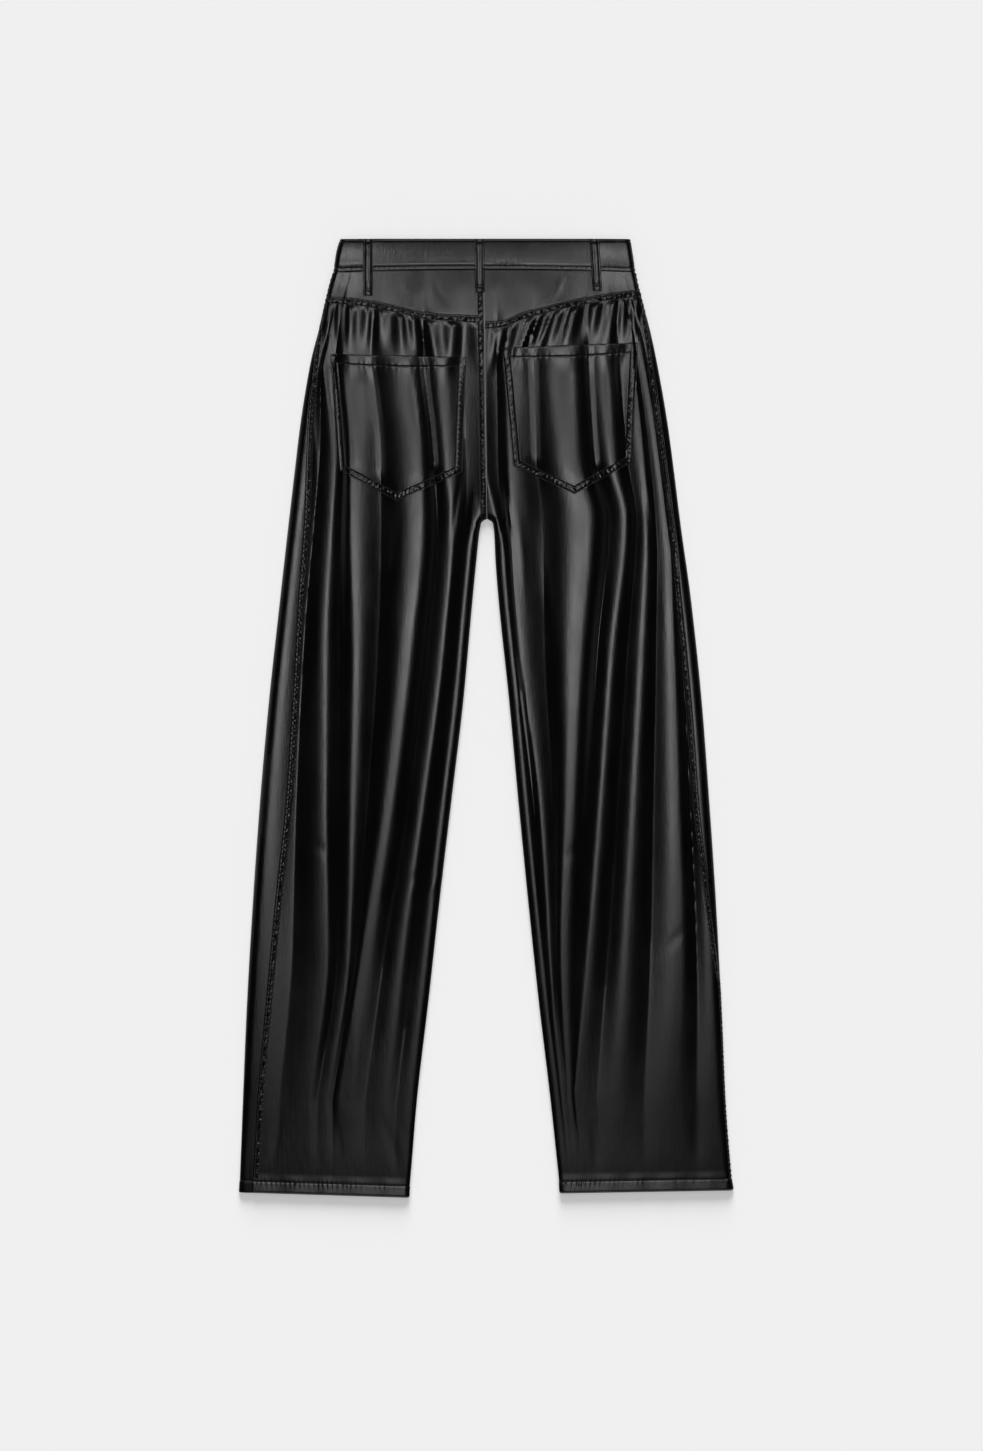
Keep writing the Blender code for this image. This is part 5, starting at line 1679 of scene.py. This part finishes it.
def make_softbox():
    """A plane of light overhead that only glossy rays see."""
    material = bpy.data.materials.new("softbox_glow")
    material.use_nodes = True
    tree = material.node_tree
    tree.nodes.clear()
    output = tree.nodes.new("ShaderNodeOutputMaterial")
    emission = tree.nodes.new("ShaderNodeEmission")
    place = tree.nodes.new("ShaderNodeSeparateXYZ")
    coordinates = tree.nodes.new("ShaderNodeTexCoord")
    tree.links.new(coordinates.outputs["Object"], place.inputs["Vector"])
    across = add_node(tree, "ShaderNodeMath", operation="ABSOLUTE")
    tree.links.new(place.outputs["X"], across.inputs[0])
    along_glow = graded(tree, place.outputs["Y"], GLOW_ALONG[0][0], GLOW_ALONG[-1][0], GLOW_ALONG)
    across_glow = graded(tree, across.outputs["Value"], 0.0, GLOW_ACROSS[-1][0], GLOW_ACROSS)
    both, scaled = (add_node(tree, "ShaderNodeMath", operation="MULTIPLY") for _ in range(2))
    tree.links.new(along_glow, both.inputs[0])
    tree.links.new(across_glow, both.inputs[1])
    tree.links.new(both.outputs["Value"], scaled.inputs[0])
    scaled.inputs[1].default_value = max(value for _, value in GLOW_ALONG)
    tree.links.new(scaled.outputs["Value"], emission.inputs["Strength"])
    tree.links.new(emission.outputs["Emission"], output.inputs["Surface"])
    box = plane("softbox", SOFTBOX_SIZE, SOFTBOX_HEIGHT, material)
    box.visible_camera = box.visible_diffuse = box.visible_shadow = box.visible_transmission = False


def make_lights():
    make_softbox()
    for x in (-SIDE_GLOW_X, SIDE_GLOW_X):
        place = (x, SIDE_GLOW_Y, SIDE_GLOW_HEIGHT)
        area_light("side_glow", place, SIDE_GLOW_SIZE, SIDE_GLOW, diffuse=False)
    area_light("dome", (0.0, 0.0, DOME_HEIGHT), DOME_SIZE, DOME, glossy=False)
    sun = bpy.data.lights.new("low_sun", "SUN")
    sun.energy, sun.angle = SUN, SUN_SPREAD
    item = placed("low_sun", sun)
    item.rotation_euler = (math.radians(-(90 - SUN_RISE)), 0.0, 0.0)
    item.visible_glossy = False


def make_camera():
    camera = bpy.data.cameras.new("camera")
    camera.lens, camera.sensor_width = CAMERA_LENS, CAMERA_SENSOR
    bpy.context.scene.camera = placed("camera", camera, CAMERA_PLACE)


def make_stage():
    scene = bpy.context.scene
    scene.view_settings.view_transform = "Standard"
    world = bpy.data.worlds.new("studio")
    world.use_nodes = True
    tree = world.node_tree
    up = tree.nodes.new("ShaderNodeSeparateXYZ")
    tree.links.new(tree.nodes.new("ShaderNodeTexCoord").outputs["Generated"], up.inputs["Vector"])
    glow = ramp(tree, up.outputs["Z"], HORIZON_GLOW)
    tree.links.new(glow, tree.nodes["Background"].inputs["Color"])
    scene.world = world
    make_floor()
    make_lights()
    make_camera()


# --- assembly -------------------------------------------------------------------------------------

def dress(piece, node=None):
    """Puts a piece on the part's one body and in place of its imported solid."""
    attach(piece, "root")
    if node:
        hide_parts(node)
    return piece


def main():
    make_stage()
    leather, thread, horn = leather_material(), thread_material(), horn_material()
    sheets = {}
    for side in SIDES:
        sheets["back_" + side] = dress(make_back(side, leather), "back_" + side)
        sheets["front_" + side] = dress(make_front(side, leather), "front_" + side)
        sheets["yoke_" + side] = dress(make_yoke(side, leather), "yoke_" + side)
        sheets["pocket_" + side] = dress(make_pocket(side, leather), "pocket_" + side)
    sheets["waistband"] = dress(make_band(leather), "waistband")
    for row in BACK_LOOPS:
        sheets[row[0]] = dress(make_loop(row, leather), row[0])
    for row in FRONT_LOOPS:
        sheets[row[0]] = dress(make_front_loop(row, leather), row[0])
    dress(make_button(horn), "button")

    bands = {}
    for side in SIDES:
        bands["outseam_" + side] = (outseam_band(side), "back_" + side)
        bands["yoke_seam_" + side] = (yoke_band(side), "back_" + side)
        bands["pocket_edge_" + side] = (pocket_band(side), "pocket_" + side)
    bands["centre_seam"] = (centre_band(), "back_left")
    extras = {name: [] for name in sheets}
    for name, (band, owner) in bands.items():
        extras[owner].append(dress(band.mesh(name, leather)))
        extras[owner].append(dress(stitch_mesh("stitches_" + name, band.stitch_paths(), thread)))

    rows = {"back_" + side: hem_rows(side) for side in SIDES}
    rows.update({"pocket_" + side: [mouth_row(side)] for side in SIDES})
    rows["waistband"] = waist_rows()
    rows.update({row[0]: loop_rows(row) for row in BACK_LOOPS})
    for owner, paths in rows.items():
        length = LOOP_STITCH_LENGTH if owner.startswith("loop") else STITCH_LENGTH
        row = stitch_mesh("rows_" + owner, paths, thread, ROW_SPACING * length, length)
        extras[owner].append(dress(row))
    pitch, length = EDGE_STITCH_PITCH, EDGE_STITCH_LENGTH
    edge = stitch_mesh("stitches_edge", top_edge_row(), thread, pitch, length)
    extras["waistband"].append(dress(edge))


main()
